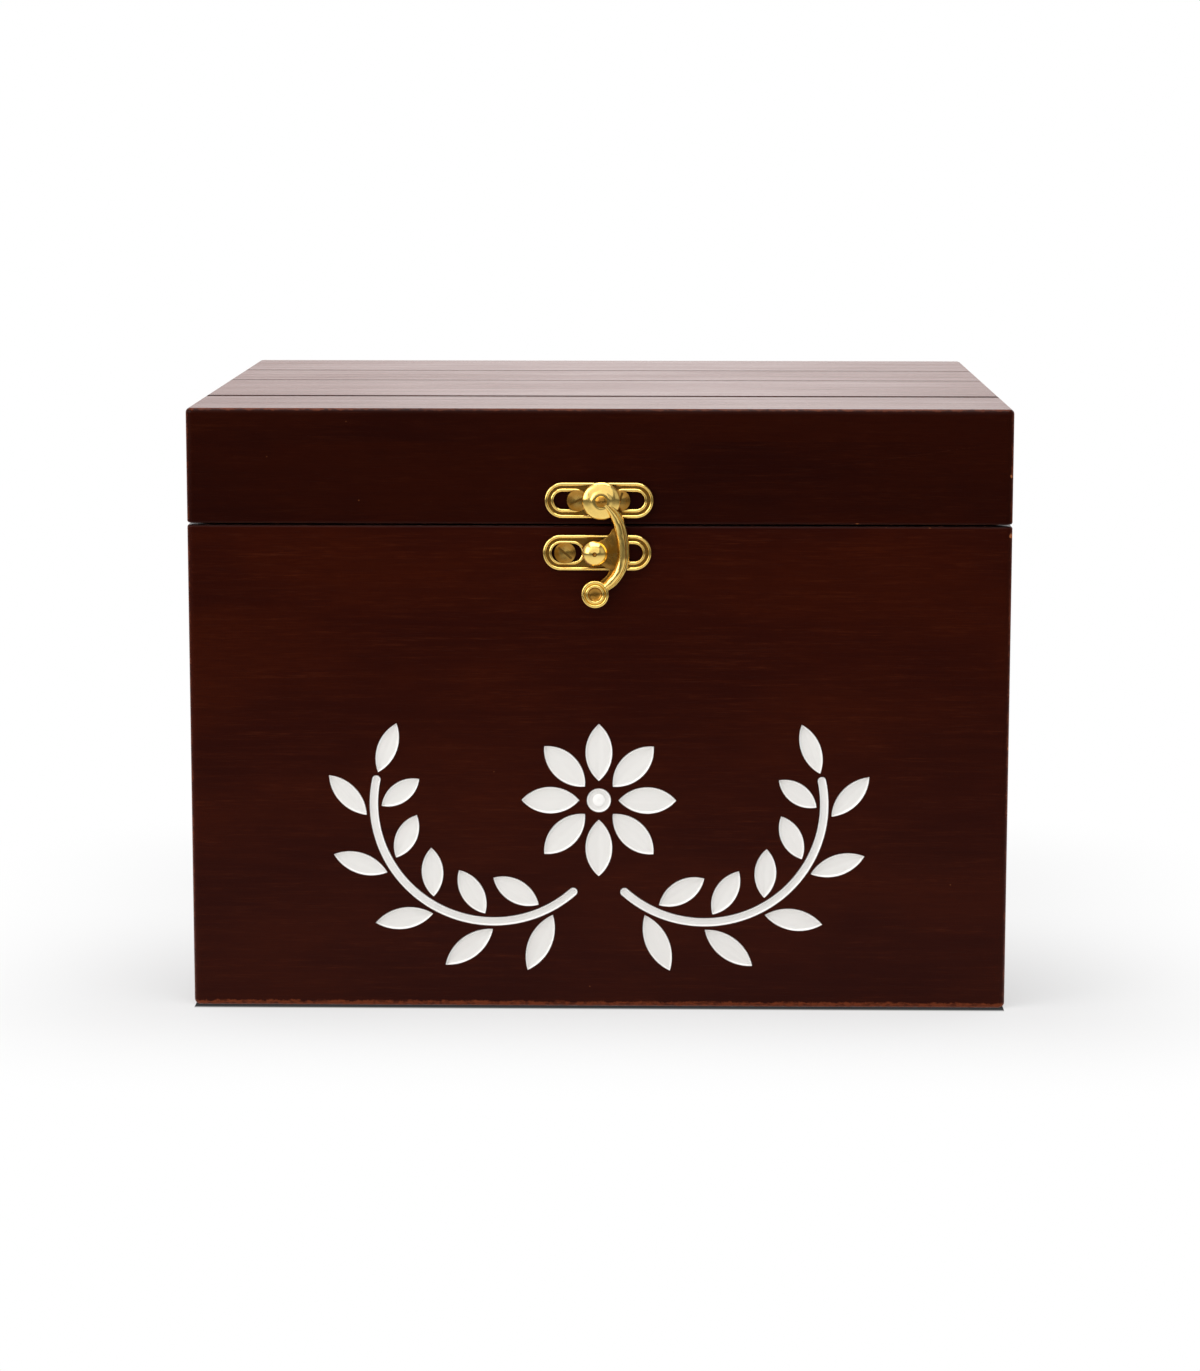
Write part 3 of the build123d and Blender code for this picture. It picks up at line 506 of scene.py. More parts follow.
# ---------------------------------------------------------------- finishes
def stained_wood(name, look, box, pith, grain_along_y, tone):
    """Dark stained timber under satin lacquer, cut from its own place in the tree."""
    material, bench = new_material(name)
    place = bench.place()
    turn = (0.0, 0.0, math.radians(90.0) if grain_along_y else 0.0)
    cut = bench.wire("ShaderNodeMapping", {"Vector": place, "Location": pith, "Rotation": turn})
    grain = use_group(bench, timber_grain, {
        "Place": cut,
        "Ring Width": look.ring_width,
        "Ring Wander": look.ring_wander,
        "Fibre Width": look.fibre_width,
        "Fibre Length": look.fibre_length,
    })
    wear = use_group(bench, arris_wear, {
        "Place": place,
        "Low Corner": box[0],
        "High Corner": box[1],
        "Width": look.wear_width,
        "Base Width": look.base_wear_width,
        "Top Stretch": 2.6 if box is BODY_BOX else 1.1,
    })
    smears = use_group(bench, handling_marks, {
        "Place": cut * (0.35, 1.0, 1.0), "Smear Scale": 45.0, "Mark Scale": 900.0,
    })["Smears"]
    deep, stain, pale = (
        tuple(tone * part for part in shade) for shade in (look.deep_stain, look.stain, look.pale_fibre)
    )
    fibres, fine, bands, pores = (grain[key] for key in ("Fibres", "Fine Fibres", "Bands", "Pores"))
    off_seam = abs(place.parts()[2] - SEAM_HEIGHT)
    streaks = fine.eased(0.48, 0.74) * fibres.eased(0.42, 0.70)
    # Rubbed stain along the arrises and the foot, widened so that it also paints the highlight on their
    # rounding.
    rubbed = wear["Wear"] * off_seam.eased(0.0006, 0.0012, 0.06, 0.7)
    scuffed_and_highlit = wear["Base Wear"] if box is BODY_BOX else 0.0
    # Painted shade: seam faces near the outside are painted nearly black, for the shadow in the gap between
    # lid and box.
    seam_shade = off_seam.eased(0.00024, 0.00042, 1.0, 0.0) * wear["Inwards"].eased(0.0012, 0.0030, 1.0, 0.0)
    body = bench.layered(
        deep,
        (smears.eased(0.0, 1.0, 0.10, 1.0), stain),
        (fibres.eased(0.36, 0.66, 0.0, 0.45), stain),
        (streaks * 0.35, pale),
        (grain["Rings"] * 0.22, deep),
        (fine.eased(0.42, 0.60, 0.44, 0.0).most(bands * 0.26), deep),
        (pores * 0.45, deep),
        (rubbed.most(scuffed_and_highlit), look.worn_arris),
        (wear["Chips"], look.chip),
        (seam_shade, look.pooled_stain),
    )
    facing_up = bench.wire("ShaderNodeTexCoord", output="Normal").parts()[2]
    film = bands.eased(0.0, 1.0, look.top_film, 0.4 * look.top_film)
    rim = abs(facing_up).eased(0.93, 0.99) * off_seam.eased(0.0003, 0.0004, 1.0, 0.0)
    rolled = rim * wear["Inwards"].least(look.rim_roll_width)
    end_material(bench, rolled * (look.rim_roll / look.relief) + grain["Height"], look.relief, {
        "Base Color": body,
        "Roughness": fine * 0.10 + 0.20 - smears * 0.04 + pores * 0.06 + scuffed_and_highlit * 0.3,
        "Specular IOR Level": look.gloss_level,
        "Sheen Weight": look.haze,
        "Sheen Roughness": 0.4,
        "Sheen Tint": look.haze_tint,
        "Coat Weight": film * facing_up.eased(0.3, 0.9),
        "Coat IOR": 1.2,
        "Coat Roughness": 0.22,
    })
    return material


def stained_plywood(look):
    """Thin stained plywood with an open, unlacquered face."""
    material, bench = new_material("stained_plywood")
    grain = use_group(bench, timber_grain, {
        "Place": bench.place() * (1.0, 0.35, 1.0) + (0.02, 0.013, 0.035),
        "Ring Width": 0.0031,
        "Ring Wander": 0.02,
        "Fibre Width": 0.0008,
        "Fibre Length": 0.03,
    })
    end_material(bench, grain["Height"], 0.00008, {
        "Base Color": bench.layered(
            look.stain,
            (grain["Fibres"].eased(0.3, 0.7), look.plywood),
            (grain["Rings"] * 0.6, look.stain),
            (grain["Pores"] * 0.7, look.deep_stain),
        ),
        "Roughness": grain["Fine Fibres"] * 0.25 + 0.5,
        "Specular IOR Level": look.gloss_level,
    })
    return material


def front_brass(name, look, pit=None, unevenness=1.0):
    """Polished latch brass, tarnished and painted darker as shade in its hollows and in a round pit of (x, z,
    radius).
    """
    material, bench = new_material(name)
    place = bench.place()
    # Painted shade: brass below a height above the front, and in the pit, takes the tarnished colour, partly
    # real tarnish and partly the shade of the recesses.
    hollow = (FRONT_Y - place.parts()[1]).eased(*BRASS_TARNISH_AND_SHADE[name], 1.0, 0.0)
    if pit:
        x, z, radius = pit
        aside = ((place - (x, 0.0, z)) * (1.0, 0.0, 1.0)).sum("LENGTH")
        hollow = hollow.most(aside.eased(0.8 * radius, radius, 1.0, 0.0))
    marks = use_group(bench, handling_marks, {
        "Place": place, "Smear Scale": 420.0, "Mark Scale": 2600.0, "Cast Scale": 380.0,
    })
    smears = marks["Smears"]
    worn = (hollow * (smears * 0.18 + 0.82)).most(smears * 0.12)
    cast = marks["Cast"] * (look.cast_height * unevenness)
    end_material(bench, marks["Marks"] * look.scratch_height + cast, 1.0, {
        "Base Color": bench.layered(look.polished, (worn, look.tarnished)),
        "Roughness": worn * 0.12 + (smears * 0.06 + look.polish_roughness),
        "Metallic": 1.0,
        "Coat Weight": look.lacquer,
        "Coat Roughness": 0.12,
    })
    return material


def satin_brass(name, look, brighter=0.0):
    """Duller brass of the hinges, with rolling marks along them."""
    material, bench = new_material(name)
    place = bench.place()
    marks = use_group(bench, handling_marks, {"Place": place, "Smear Scale": 260.0, "Mark Scale": 1800.0})
    spots = place.noise(900.0, 3.0, 0.7).eased(0.58, 0.72, 0.0, 0.5)
    worn = spots.most(marks["Smears"] * (0.3 - 0.2 * brighter))
    lively = tuple(a + (b - a) * brighter for a, b in zip(look.satin, look.polished))
    rough = look.satin_roughness + (look.polish_roughness - look.satin_roughness) * brighter
    end_material(bench, marks["Marks"], look.scratch_height, {
        "Base Color": bench.layered(lively, (worn, look.tarnished)),
        "Roughness": worn * 0.2 + rough,
        "Metallic": 1.0,
    })
    return material


def white_enamel(look):
    """White filling, with a painted highlight on the slopes of its rim."""
    material, bench = new_material("white_enamel")
    place = bench.place()
    depth = place.parts()[1] - FRONT_Y
    rim = look.rim_recess
    bed = rim + look.dish_depth
    # Painted highlight: the slopes inside the rim are painted lighter, for the light they catch.
    slope = depth.eased(rim + 0.00003, rim + 0.00012) * depth.eased(bed - 0.00016, bed - 0.00002, 1.0, 0.0)
    cloud = place.noise(120.0, 3.0)
    orange_peel = place.noise(700.0)
    end_material(bench, orange_peel, 0.00001, {
        "Base Color": bench.layered(
            look.enamel,
            (cloud.eased(0.25, 0.75, 0.0, 0.10), (0.60, 0.59, 0.57)),
            (slope * cloud.eased(0.3, 0.7, 0.7, 1.0), look.rim_glaze),
        ),
        "Roughness": orange_peel * 0.2 + 0.25,
    })
    return material


# ---------------------------------------------------------------- mesh helpers
def middle(box):
    """The x and z of a box's centre."""
    return (box[0].x + box[1].x) / 2, (box[0].z + box[1].z) / 2


def front_place(x, z):
    """The matrix of a drawing on the front: x to the right, y up, z out of the wood."""
    return Matrix(((1, 0, 0, x), (0, 0, -1, FRONT_Y), (0, 1, 0, z), (0, 0, 0, 1)))


def polar(radius, turn, centre=(0.0, 0.0)):
    """The point at a distance and a turn from a centre."""
    return centre[0] + radius * math.cos(turn), centre[1] + radius * math.sin(turn)


def smooth_step(t):
    """A share from 0 to 1, slow at both ends."""
    return t * t * (3 - 2 * t)


def fractions(steps):
    """Even shares from 0 to 1, both included."""
    return [step / steps for step in range(steps + 1)]


def join_rows(mesh, pairs):
    """Faces between pairs of closed rows of corners."""
    for low, high in pairs:
        for step in range(len(low)):
            mesh.faces.new((low[step - 1], low[step], high[step], high[step - 1]))


def add_rows(mesh, loops):
    """Skin loops of points into a sleeve, and give back its rows of corners."""
    rows = [[mesh.verts.new(point) for point in loop] for loop in loops]
    join_rows(mesh, zip(rows, rows[1:]))
    return rows


def add_turned(mesh, profile, centre=(0.0, 0.0), steps=72):
    """Turn a profile of (radius, height) points about an axis. It starts and ends on the axis."""
    rows = add_rows(mesh, [
        [(*polar(radius, math.tau * step / steps, centre), height) for step in range(steps)]
        for radius, height in profile[1:-1]
    ])
    for (_, height), row in ((profile[0], rows[0]), (profile[-1], rows[-1])):
        end = mesh.verts.new((*centre, height))
        for step in range(steps):
            mesh.faces.new((end, row[step - 1], row[step]))


def lift_faces(drawn, faces, height):
    """Extrude flat faces upwards."""
    raised = bmesh.ops.extrude_face_region(drawn, geom=faces)["geom"]
    lifted = [item for item in raised if isinstance(item, bmesh.types.BMVert)]
    bmesh.ops.translate(drawn, verts=lifted, vec=(0.0, 0.0, height))


def plain_mesh(name, drawn):
    """Mesh data from a drawing, which it uses up."""
    data = bpy.data.meshes.new(name)
    drawn.to_mesh(data)
    drawn.free()
    return data


def add_drawn(mesh, drawn):
    """Move a drawing of its own into a mesh."""
    data = plain_mesh("drawn", drawn)
    mesh.from_mesh(data)
    bpy.data.meshes.remove(data)


def put_in_scene(name, data):
    """A new object in the scene."""
    thing = bpy.data.objects.new(name, data)
    bpy.context.scene.collection.objects.link(thing)
    return thing


def smooth_curve(points, steps):
    """A smooth line of (a, b) points through the given ones."""
    def between(a, b, c, d, t):
        """A value between b and c, with a and d as their neighbours."""
        square, cube = 2 * a - 5 * b + 4 * c - d, 3 * b - a - 3 * c + d
        return 0.5 * (2 * b + (c - a) * t + square * t * t + cube * t**3)

    padded = [points[0], *points, points[-1]]
    result = []
    for four in zip(padded, padded[1:], padded[2:], padded[3:]):
        for t in fractions(steps)[:-1]:
            result.append(tuple(between(*values, t) for values in zip(*four)))
    return [*result, tuple(points[-1])]


def arc_through(start, middle_point, end, steps):
    """Points on the arc from start to end through a middle one, without the last."""
    (ax, ay), (bx, by), (cx, cy) = start, middle_point, end
    a, b, c = (x * x + y * y for x, y in (start, middle_point, end))
    d = 2 * (ax * (by - cy) + bx * (cy - ay) + cx * (ay - by))
    ux = (a * (by - cy) + b * (cy - ay) + c * (ay - by)) / d
    uy = (a * (cx - bx) + b * (ax - cx) + c * (bx - ax)) / d
    first, through, last = (math.atan2(y - uy, x - ux) for x, y in (start, middle_point, end))
    sweep = (last - first) % math.tau
    if (through - first) % math.tau > sweep:
        sweep -= math.tau
    radius = math.hypot(ax - ux, ay - uy)
    return [polar(radius, first + sweep * part, (ux, uy)) for part in fractions(steps)[:-1]]


def finish_piece(name, mesh, place, body, slot, materials, *nodes):
    """Turn a drawn mesh into a piece that rides on a body and stands for CAD nodes."""
    bmesh.ops.recalc_face_normals(mesh, faces=mesh.faces)
    mesh.transform(place)
    data = plain_mesh(name, mesh)
    data.polygons.foreach_set("use_smooth", [True] * len(data.polygons))
    data.set_sharp_from_angle(angle=CREASE_ANGLE)
    for material in materials:
        data.materials.append(material)
    piece = put_in_scene(name, data)
    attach(piece, body)
    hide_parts(*nodes)
    return piece


# ---------------------------------------------------------------- inlay
DISH_SHARES = (-1.0, -0.93, -0.84, -0.72, -0.57, -0.38, -0.19, 0.0, 0.19, 0.38, 0.57, 0.72, 0.84, 0.93, 1.0)


def add_dished(mesh, stations, sizes, vein):
    """A closed filling over stations of (x, y, heading, half width, distance from the nearer tip)."""
    top, low = -sizes.rim_recess, -sizes.pocket_depth

    def skin(part, half, tip):
        """Height of the filling's surface at a share of the half width."""
        inside = min(half * (1 - abs(part)), tip)
        slope = min(inside / sizes.rim_width, 1.0)
        height = top - sizes.dish_depth * smooth_step(slope)
        if vein:
            height -= sizes.vein_depth * math.exp(-((part * half / sizes.vein_width) ** 2)) * slope
        return height

    loops = []
    for x, y, heading, half, tip in stations[1:-1]:
        spots = [(part, skin(part, half, tip)) for part in DISH_SHARES] + [(1.0, low), (-1.0, low)]
        loops.append([
            (x - math.sin(heading) * half * part, y + math.cos(heading) * half * part, height)
            for part, height in spots
        ])
    rows = add_rows(mesh, loops)
    across = len(DISH_SHARES)
    for (x, y, *_), ring in ((stations[0], rows[0]), (stations[-1], rows[-1])):
        high_tip, low_tip = (mesh.verts.new((x, y, height)) for height in (top, low))
        for step in range(across - 1):
            mesh.faces.new((high_tip, ring[step], ring[step + 1]))
        mesh.faces.new((high_tip, ring[across - 1], ring[across], low_tip))
        mesh.faces.new((low_tip, ring[across], ring[across + 1]))
        mesh.faces.new((low_tip, ring[across + 1], ring[0], high_tip))


def leaf_at(foot, heading, length_, width, steps=26):
    """Stations along a pointed leaf from its foot."""
    half, rise = length_ / 2, width / 2
    radius = (half**2 + rise**2) / (2 * rise)
    stations = []
    for part in fractions(steps):
        along = half - half * math.cos(math.pi * part)
        reach = math.sqrt(max(radius**2 - (along - half) ** 2, 0.0)) - (radius - rise)
        tip = min(along, length_ - along)
        stations.append((*polar(along, heading, foot), heading, max(reach, 0.0), tip))
    return stations


def stem_at(centre, radius, start, end, width, steps=56, cap_steps=7):
    """Stations of a round-ended stem on an arc."""
    half = width / 2
    run = radius * (end - start)
    cap = [-half * math.cos(math.pi / 2 * part) for part in fractions(cap_steps)[:-1]]
    stations = []
    for along in cap + [run * part for part in fractions(steps)] + [run - place for place in reversed(cap)]:
        turn = start + along / radius
        beyond = max(-along, along - run, 0.0)
        reach = math.sqrt(max(half**2 - beyond**2, 0.0))
        tip = min(along + half, run + half - along)
        stations.append((*polar(radius, turn, centre), turn + math.pi / 2, reach, tip))
    return stations


def spray_stations(sizes):
    """Every leaf and the stem of the right spray: stations, and whether a vein runs along them."""
    centre = (sizes.spray_centre_x, -sizes.spray_centre_drop)
    radius, start, end = sizes.spray_radius, sizes.spray_start, sizes.spray_end
    pieces = [(stem_at(centre, radius, start, end, sizes.stem_width), False)]
    step = (end - start) / (sizes.spray_pairs - 0.5 + sizes.spray_tail)
    offset = sizes.stem_width / 2 + sizes.leaf_clear

    def add_leaf(aside, turn, lean, length_, taper):
        scale = 1 - sizes.leaf_taper * taper
        foot = polar(radius + aside, turn, centre)
        heading = turn + math.pi / 2 + lean
        pieces.append((leaf_at(foot, heading, length_ * scale, sizes.leaf_width * scale), True))

    for pair in range(sizes.spray_pairs):
        turn = start + step * (pair + 0.5)
        taper = pair / sizes.spray_pairs
        add_leaf(offset, turn, -sizes.outer_splay, sizes.outer_leaf_length, taper)
        add_leaf(-offset, turn + sizes.inner_lead, sizes.inner_splay, sizes.inner_leaf_length, taper)
    add_leaf(0.0, end + offset / radius, sizes.tip_lean, sizes.outer_leaf_length, 1.0)
    return pieces


def mirrored(stations):
    """The same stations on the other side of the flower."""
    return [(-x, y, math.pi - heading, half, tip) for x, y, heading, half, tip in stations]


# ---------------------------------------------------------------- latch
def pill_outline(run, half_height, steps=26, side_steps=8):
    """Points of a pill with their outward directions, anticlockwise."""
    points = []
    for end in (1, -1):
        for part in fractions(steps):
            out = polar(1.0, math.pi * (part - 0.5 * end))
            points.append(((end * run / 2 + half_height * out[0], half_height * out[1]), out))
        for part in fractions(side_steps)[1:-1]:
            points.append(((end * run * (0.5 - part), end * half_height), (0.0, float(end))))
    return points


def shifted(outline, outwards, level, centre_x):
    """An outline grown by a distance, at a height."""
    return [(centre_x + x + outwards * a, y + outwards * b, level) for (x, y), (a, b) in outline]


def add_bead(mesh, outline, way, centre_x, sizes):
    """A rounded bead along a pill's outline, inside it or outside it."""
    width = sizes.bead_width
    crown = BEAD_CROWN * width
    side = sizes.bead_height - crown
    flank = [(0.0, 0.0), (0.0, BEAD_FOOT * sizes.plate_thickness), (0.0, side - BEAD_FLANK * width)]
    profile = list(flank)
    for part in fractions(12):
        across = BEAD_EDGE + (1 - 2 * BEAD_EDGE) * part
        profile.append((across * width, side + crown * (1 - (2 * across - 1) ** 2)))
    profile += [(width, level) for _, level in reversed(flank)]
    rows = add_rows(mesh, [shifted(outline, way * inset, level, centre_x) for inset, level in profile])
    join_rows(mesh, [(rows[-1], rows[0])])


def add_plate(mesh, sizes):
    """The flat of a plate with its two slots, and the beads round them and round the rim."""
    half = sizes.plate_height / 2
    run = sizes.plate_length - sizes.plate_height
    slot_half = half - 2 * sizes.bead_width - sizes.groove_width
    slot_centre = (run / 2 + sizes.slot_inner) / 2
    slot = pill_outline(run / 2 - sizes.slot_inner, slot_half, side_steps=3)
    outlines = ((pill_outline(run, half), -1, 0.0), (slot, 1, -slot_centre), (slot, 1, slot_centre))
    edges = []
    flat = bmesh.new()
    for outline, way, centre_x in outlines:
        points = shifted(outline, way * sizes.bead_width / 2, 0.0, centre_x)
        corners = [flat.verts.new(point) for point in points]
        edges += [flat.edges.new((corners[i - 1], corners[i])) for i in range(len(corners))]
    filled = bmesh.ops.triangle_fill(flat, edges=edges, use_beauty=True)["geom"]
    faces = [item for item in filled if isinstance(item, bmesh.types.BMFace)]
    lift_faces(flat, faces, sizes.plate_thickness)
    add_drawn(mesh, flat)
    for outline, way, centre_x in outlines:
        add_bead(mesh, outline, way, centre_x, sizes)


def arm_stations(sizes, steps=72):
    """Points down the hook's arm, with their directions across it and shares of its length."""
    joint = (sizes.arm_reach, -sizes.keeper_drop)
    centre = (joint[0] - sizes.upper_radius, joint[1])
    bend = polar(sizes.upper_radius, sizes.upper_angle, centre)
    arcs = (
        (sizes.neck_radius, sizes.neck_angle, polar(-sizes.neck_radius, sizes.upper_angle, bend)),
        (sizes.upper_radius, sizes.upper_angle, centre),
        (sizes.lower_radius, sizes.lower_angle, (joint[0] - sizes.lower_radius, joint[1])),
    )
    total = sum(radius * sweep for radius, sweep, _ in arcs)
    stations = []
    for part in fractions(steps):
        run = total * part
        turn = sizes.neck_angle + sizes.upper_angle
        for radius, sweep, centre in arcs:
            if run <= radius * sweep or centre is arcs[-1][2]:
                turn -= run / radius
                break
            run -= radius * sweep
            turn -= sweep
        stations.append((polar(radius, turn, centre), polar(1.0, turn), part))
    return stations


ARM_SECTION = smooth_curve([
    (-1.0, 0.15), (-0.96, 0.42), (-0.82, 0.66), (-0.57, 0.86), (-0.28, 0.97), (0.02, 1.0), (0.28, 0.93),
    (0.43, 0.81), (0.53, 0.73), (0.63, 0.73), (0.76, 0.74), (0.88, 0.64), (0.97, 0.42), (1.0, 0.15),
], 3) + [(1.0, 0.0), (-1.0, 0.0)]
ARM_WIDTHS = [(0.0, 0.46), (0.06, 0.66), (0.18, 0.95), (0.32, 1.0), (0.70, 1.0), (0.88, 0.92), (1.0, 0.74)]
ARM_HEIGHTS = [(0.0, 0.86), (0.14, 0.93), (0.32, 1.0), (0.78, 0.97), (0.92, 0.84), (1.0, 0.62)]


def read_off(table, where):
    """A value between the places of a table."""
    for (low, first), (high, second) in zip(table, table[1:]):
        if where <= high:
            return first + (second - first) * smooth_step((where - low) / (high - low))
    return table[-1][1]


def add_arm(mesh, sizes, base):
    """The ridged arm, from the hub to the finger ring."""
    loops = []
    for (x, y), out, where in arm_stations(sizes):
        half = sizes.arm_width / 2 * read_off(ARM_WIDTHS, where)
        height = sizes.arm_height * read_off(ARM_HEIGHTS, where)
        loops.append([
            (x + out[0] * half * part, y + out[1] * half * part, base + height * rise)
            for part, rise in ARM_SECTION
        ])
    rows = add_rows(mesh, loops)
    mesh.faces.new(rows[0])
    mesh.faces.new(rows[-1])


BLADE = {
    "root_top": (0.0041, 0.0062),
    "tip": (0.00235, 0.0052),
    "upper_hollow": (0.00085, 0.0033),
    "upper_nose": (-0.0023, 0.0024),
    "lower_nose": (-0.0023, -0.0021),
    "lower_hollow": (0.00075, -0.0028),
    "heel": (0.00185, -0.0036),
    "web_hollow": (0.0006, -0.0054),
    "web_end": (-0.0017, -0.0064),
    "web_root": (0.0010, -0.0072),
    "root_low": (0.0042, -0.0030),
}


def blade_outline(sizes):
    """The blade's outline with its notch for the keeper, from the keeper's level."""
    keeper = (-sizes.keeper_offset, 0.0)
    drop, room = sizes.keeper_drop, sizes.neck_room
    swing = math.hypot(keeper[0], drop)
    lean = math.atan2(keeper[0], drop)
    nose_x = BLADE["upper_nose"][0]

    def notch_side(radius):
        """One side of the notch, from the nose inwards."""
        edge = math.asin(nose_x / radius)
        turns = [edge + (lean - edge) * part for part in fractions(5)]
        return [(radius * math.sin(turn), drop - radius * math.cos(turn)) for turn in turns]

    def hollow(start, through, end, steps):
        return arc_through(BLADE[start], BLADE[through], BLADE[end], steps)

    return [
        BLADE["root_top"],
        *hollow("tip", "upper_hollow", "upper_nose", 14),
        BLADE["upper_nose"],
        *notch_side(swing - room),
        *(polar(room, lean + math.pi * (0.5 - part), keeper) for part in fractions(12)[1:-1]),
        *reversed(notch_side(swing + room)),
        *hollow("lower_nose", "lower_hollow", "heel", 10),
        *hollow("heel", "web_hollow", "web_end", 12),
        *(BLADE[corner] for corner in ("web_end", "web_root", "root_low")),
    ]


def add_blade(mesh, sizes, base):
    """The thin blade inside the arm, with its upper edge rounded and its brass painted dark as shade."""
    drawn = bmesh.new()
    outline = [(x, y - sizes.keeper_drop, base) for x, y in blade_outline(sizes)]
    face = drawn.faces.new([drawn.verts.new(point) for point in outline])
    lift_faces(drawn, [face], sizes.blade_thickness)
    top = base + sizes.blade_thickness
    rim = [edge for edge in drawn.edges if all(abs(v.co.z - top) < 1e-7 for v in edge.verts)]
    bmesh.ops.bevel(
        drawn, geom=rim, offset=sizes.blade_easing, segments=3, profile=0.5, affect="EDGES",
        clamp_overlap=True,
    )
    # Painted shade: the whole blade takes the second, darker brass, for the shade it sits in behind the arm.
    for face in drawn.faces:
        face.material_index = 1
    add_drawn(mesh, drawn)


BOSS_PROFILE = [
    (3.92, 0.0), (4.10, 0.10), (4.10, 0.30), (4.02, 0.50), (3.80, 0.72), (3.45, 0.93), (3.05, 1.10),
    (2.66, 1.24), (2.36, 1.35), (2.12, 1.47), (1.90, 1.57), (1.66, 1.62), (1.42, 1.60), (1.22, 1.60),
]
RING_PROFILE = [
    (2.78, 0.0), (3.0, 0.16), (3.0, 0.92), (2.95, 1.12), (2.83, 1.27), (2.62, 1.33), (2.41, 1.27),
    (2.28, 1.10), (2.20, 1.02), (2.12, 1.10), (2.0, 1.26), (1.80, 1.33), (1.60, 1.26), (1.46, 1.08),
    (1.30, 0.90), (1.05, 0.76), (0.70, 0.66), (0.35, 0.62),
]
RING_CENTRE = (-0.0013, -0.0201)
RING_SHADED_DISH_RADIUS = 0.0014
RING_DISH_HEIGHT = 0.00061


def stood(profile, base):
    """A smooth profile from its points in millimetres, stood on a base."""
    return [(0.0, base)] + [(a * MM, base + b * MM) for a, b in smooth_curve(profile, 3)]


def add_boss(mesh, sizes, base):
    """The domed boss and hub, with the collar that the rivet's head holds down."""
    hub_top = base + sizes.hub_height
    add_turned(mesh, stood(BOSS_PROFILE, base) + [(sizes.collar_radius, hub_top), (0.0, hub_top)])


def add_ring(mesh, base):
    """The round finger ring: two beads round a hollow, whose dish is painted dark as shade."""
    before = len(mesh.faces)
    add_turned(mesh, stood(RING_PROFILE, base) + [(0.0, base + RING_DISH_HEIGHT)], RING_CENTRE)
    mesh.faces.ensure_lookup_table()
    for face in mesh.faces[before:]:
        spot = face.calc_center_median()
        # Painted shade: the dish inside the ring takes the darker blade brass.
        if math.dist(spot[:2], RING_CENTRE) < RING_SHADED_DISH_RADIUS:
            face.material_index = 1


# ---------------------------------------------------------------- operators
class FinishWood(bpy.types.Operator):
    """Stain and lacquer the walls, the lid and the bottom"""

    bl_idname = "card_box.finish_wood"
    bl_label = "Finish Wood"

    boards = (
        ("front_panel", BODY_BOX, (0.03, 0.082, 0.031), False, 1.18),
        ("back_panel", BODY_BOX, (0.21, -0.046, 0.044), False, 0.96),
        ("left_side_panel", BODY_BOX, (0.05, 0.092, -0.021), True, 1.04),
        ("right_side_panel", BODY_BOX, (0.37, 0.061, 0.037), True, 0.97),
        ("lid_front_rail", LID_BOX, (0.44, 0.091, -0.058), False, 0.73),
        ("lid_back_rail", LID_BOX, (0.58, -0.036, -0.048), False, 0.93),
        ("lid_left_rail", LID_BOX, (0.63, 0.074, -0.056), True, 0.98),
        ("lid_right_rail", LID_BOX, (0.71, 0.058, -0.062), True, 0.92),
        ("lid_front_board", LID_BOX, (0.82, 0.064, -0.066), False, 0.74),
        ("lid_second_board", LID_BOX, (0.91, 0.021, -0.041), False, 1.0),
        ("lid_third_board", LID_BOX, (1.07, -0.013, -0.072), False, 1.08),
        ("lid_back_board", LID_BOX, (1.13, -0.042, -0.055), False, 0.95),
    )

    def execute(self, context):
        look = context.scene.card_box_wood
        for node, box, pith, grain_along_y, tone in self.boards:
            dress(stained_wood(f"stained_{node}", look, box, pith, grain_along_y, tone), node)
        dress(stained_plywood(look), "bottom_panel")
        return {"FINISHED"}


class FinishHinges(bpy.types.Operator):
    """Give the hinge leaves, pins and screws their satin brass"""

    bl_idname = "card_box.finish_hinges"
    bl_label = "Finish Hinges"

    finishes = (
        ("satin_brass_leaf", 0.0, "left_hinge_body_leaf", "left_hinge_lid_leaf",
         "right_hinge_body_leaf", "right_hinge_lid_leaf"),
        ("satin_brass_pin", 0.5, "left_hinge_pin", "right_hinge_pin"),
        ("bright_brass_screw", 0.8, "hinge_body_screws", "hinge_lid_screws"),
    )

    def execute(self, context):
        for name, brighter, *nodes in self.finishes:
            dress(satin_brass(name, context.scene.card_box_brass, brighter), *nodes)
        return {"FINISHED"}


class FinishLatchFixings(bpy.types.Operator):
    """Give the latch's screws, rivet and keeper stud their polished brass"""

    bl_idname = "card_box.finish_latch_fixings"
    bl_label = "Finish Latch Fixings"

    def execute(self, context):
        look = context.scene.card_box_brass
        screw = front_brass("polished_brass_screw", look, unevenness=4.0)
        dress(screw, "latch_lid_screws", "latch_body_screws")
        # Painted shade: the rivet and the pit round it are darkened all over, for the shade at the hub's
        # centre.
        rivet_pit = (PIVOT[0], PIVOT[2], RIVET_PIT_RADIUS)
        dress(front_brass("aged_brass_rivet", look, rivet_pit), "latch_pivot_rivet")
        # Painted shade: the stud's dimple is darkened for the shade inside it.
        stud_pit = (*middle(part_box("latch_keeper_stud")), STUD_PIT_RADIUS)
        dress(front_brass("polished_brass_stud", look, stud_pit), "latch_keeper_stud")
        return {"FINISHED"}


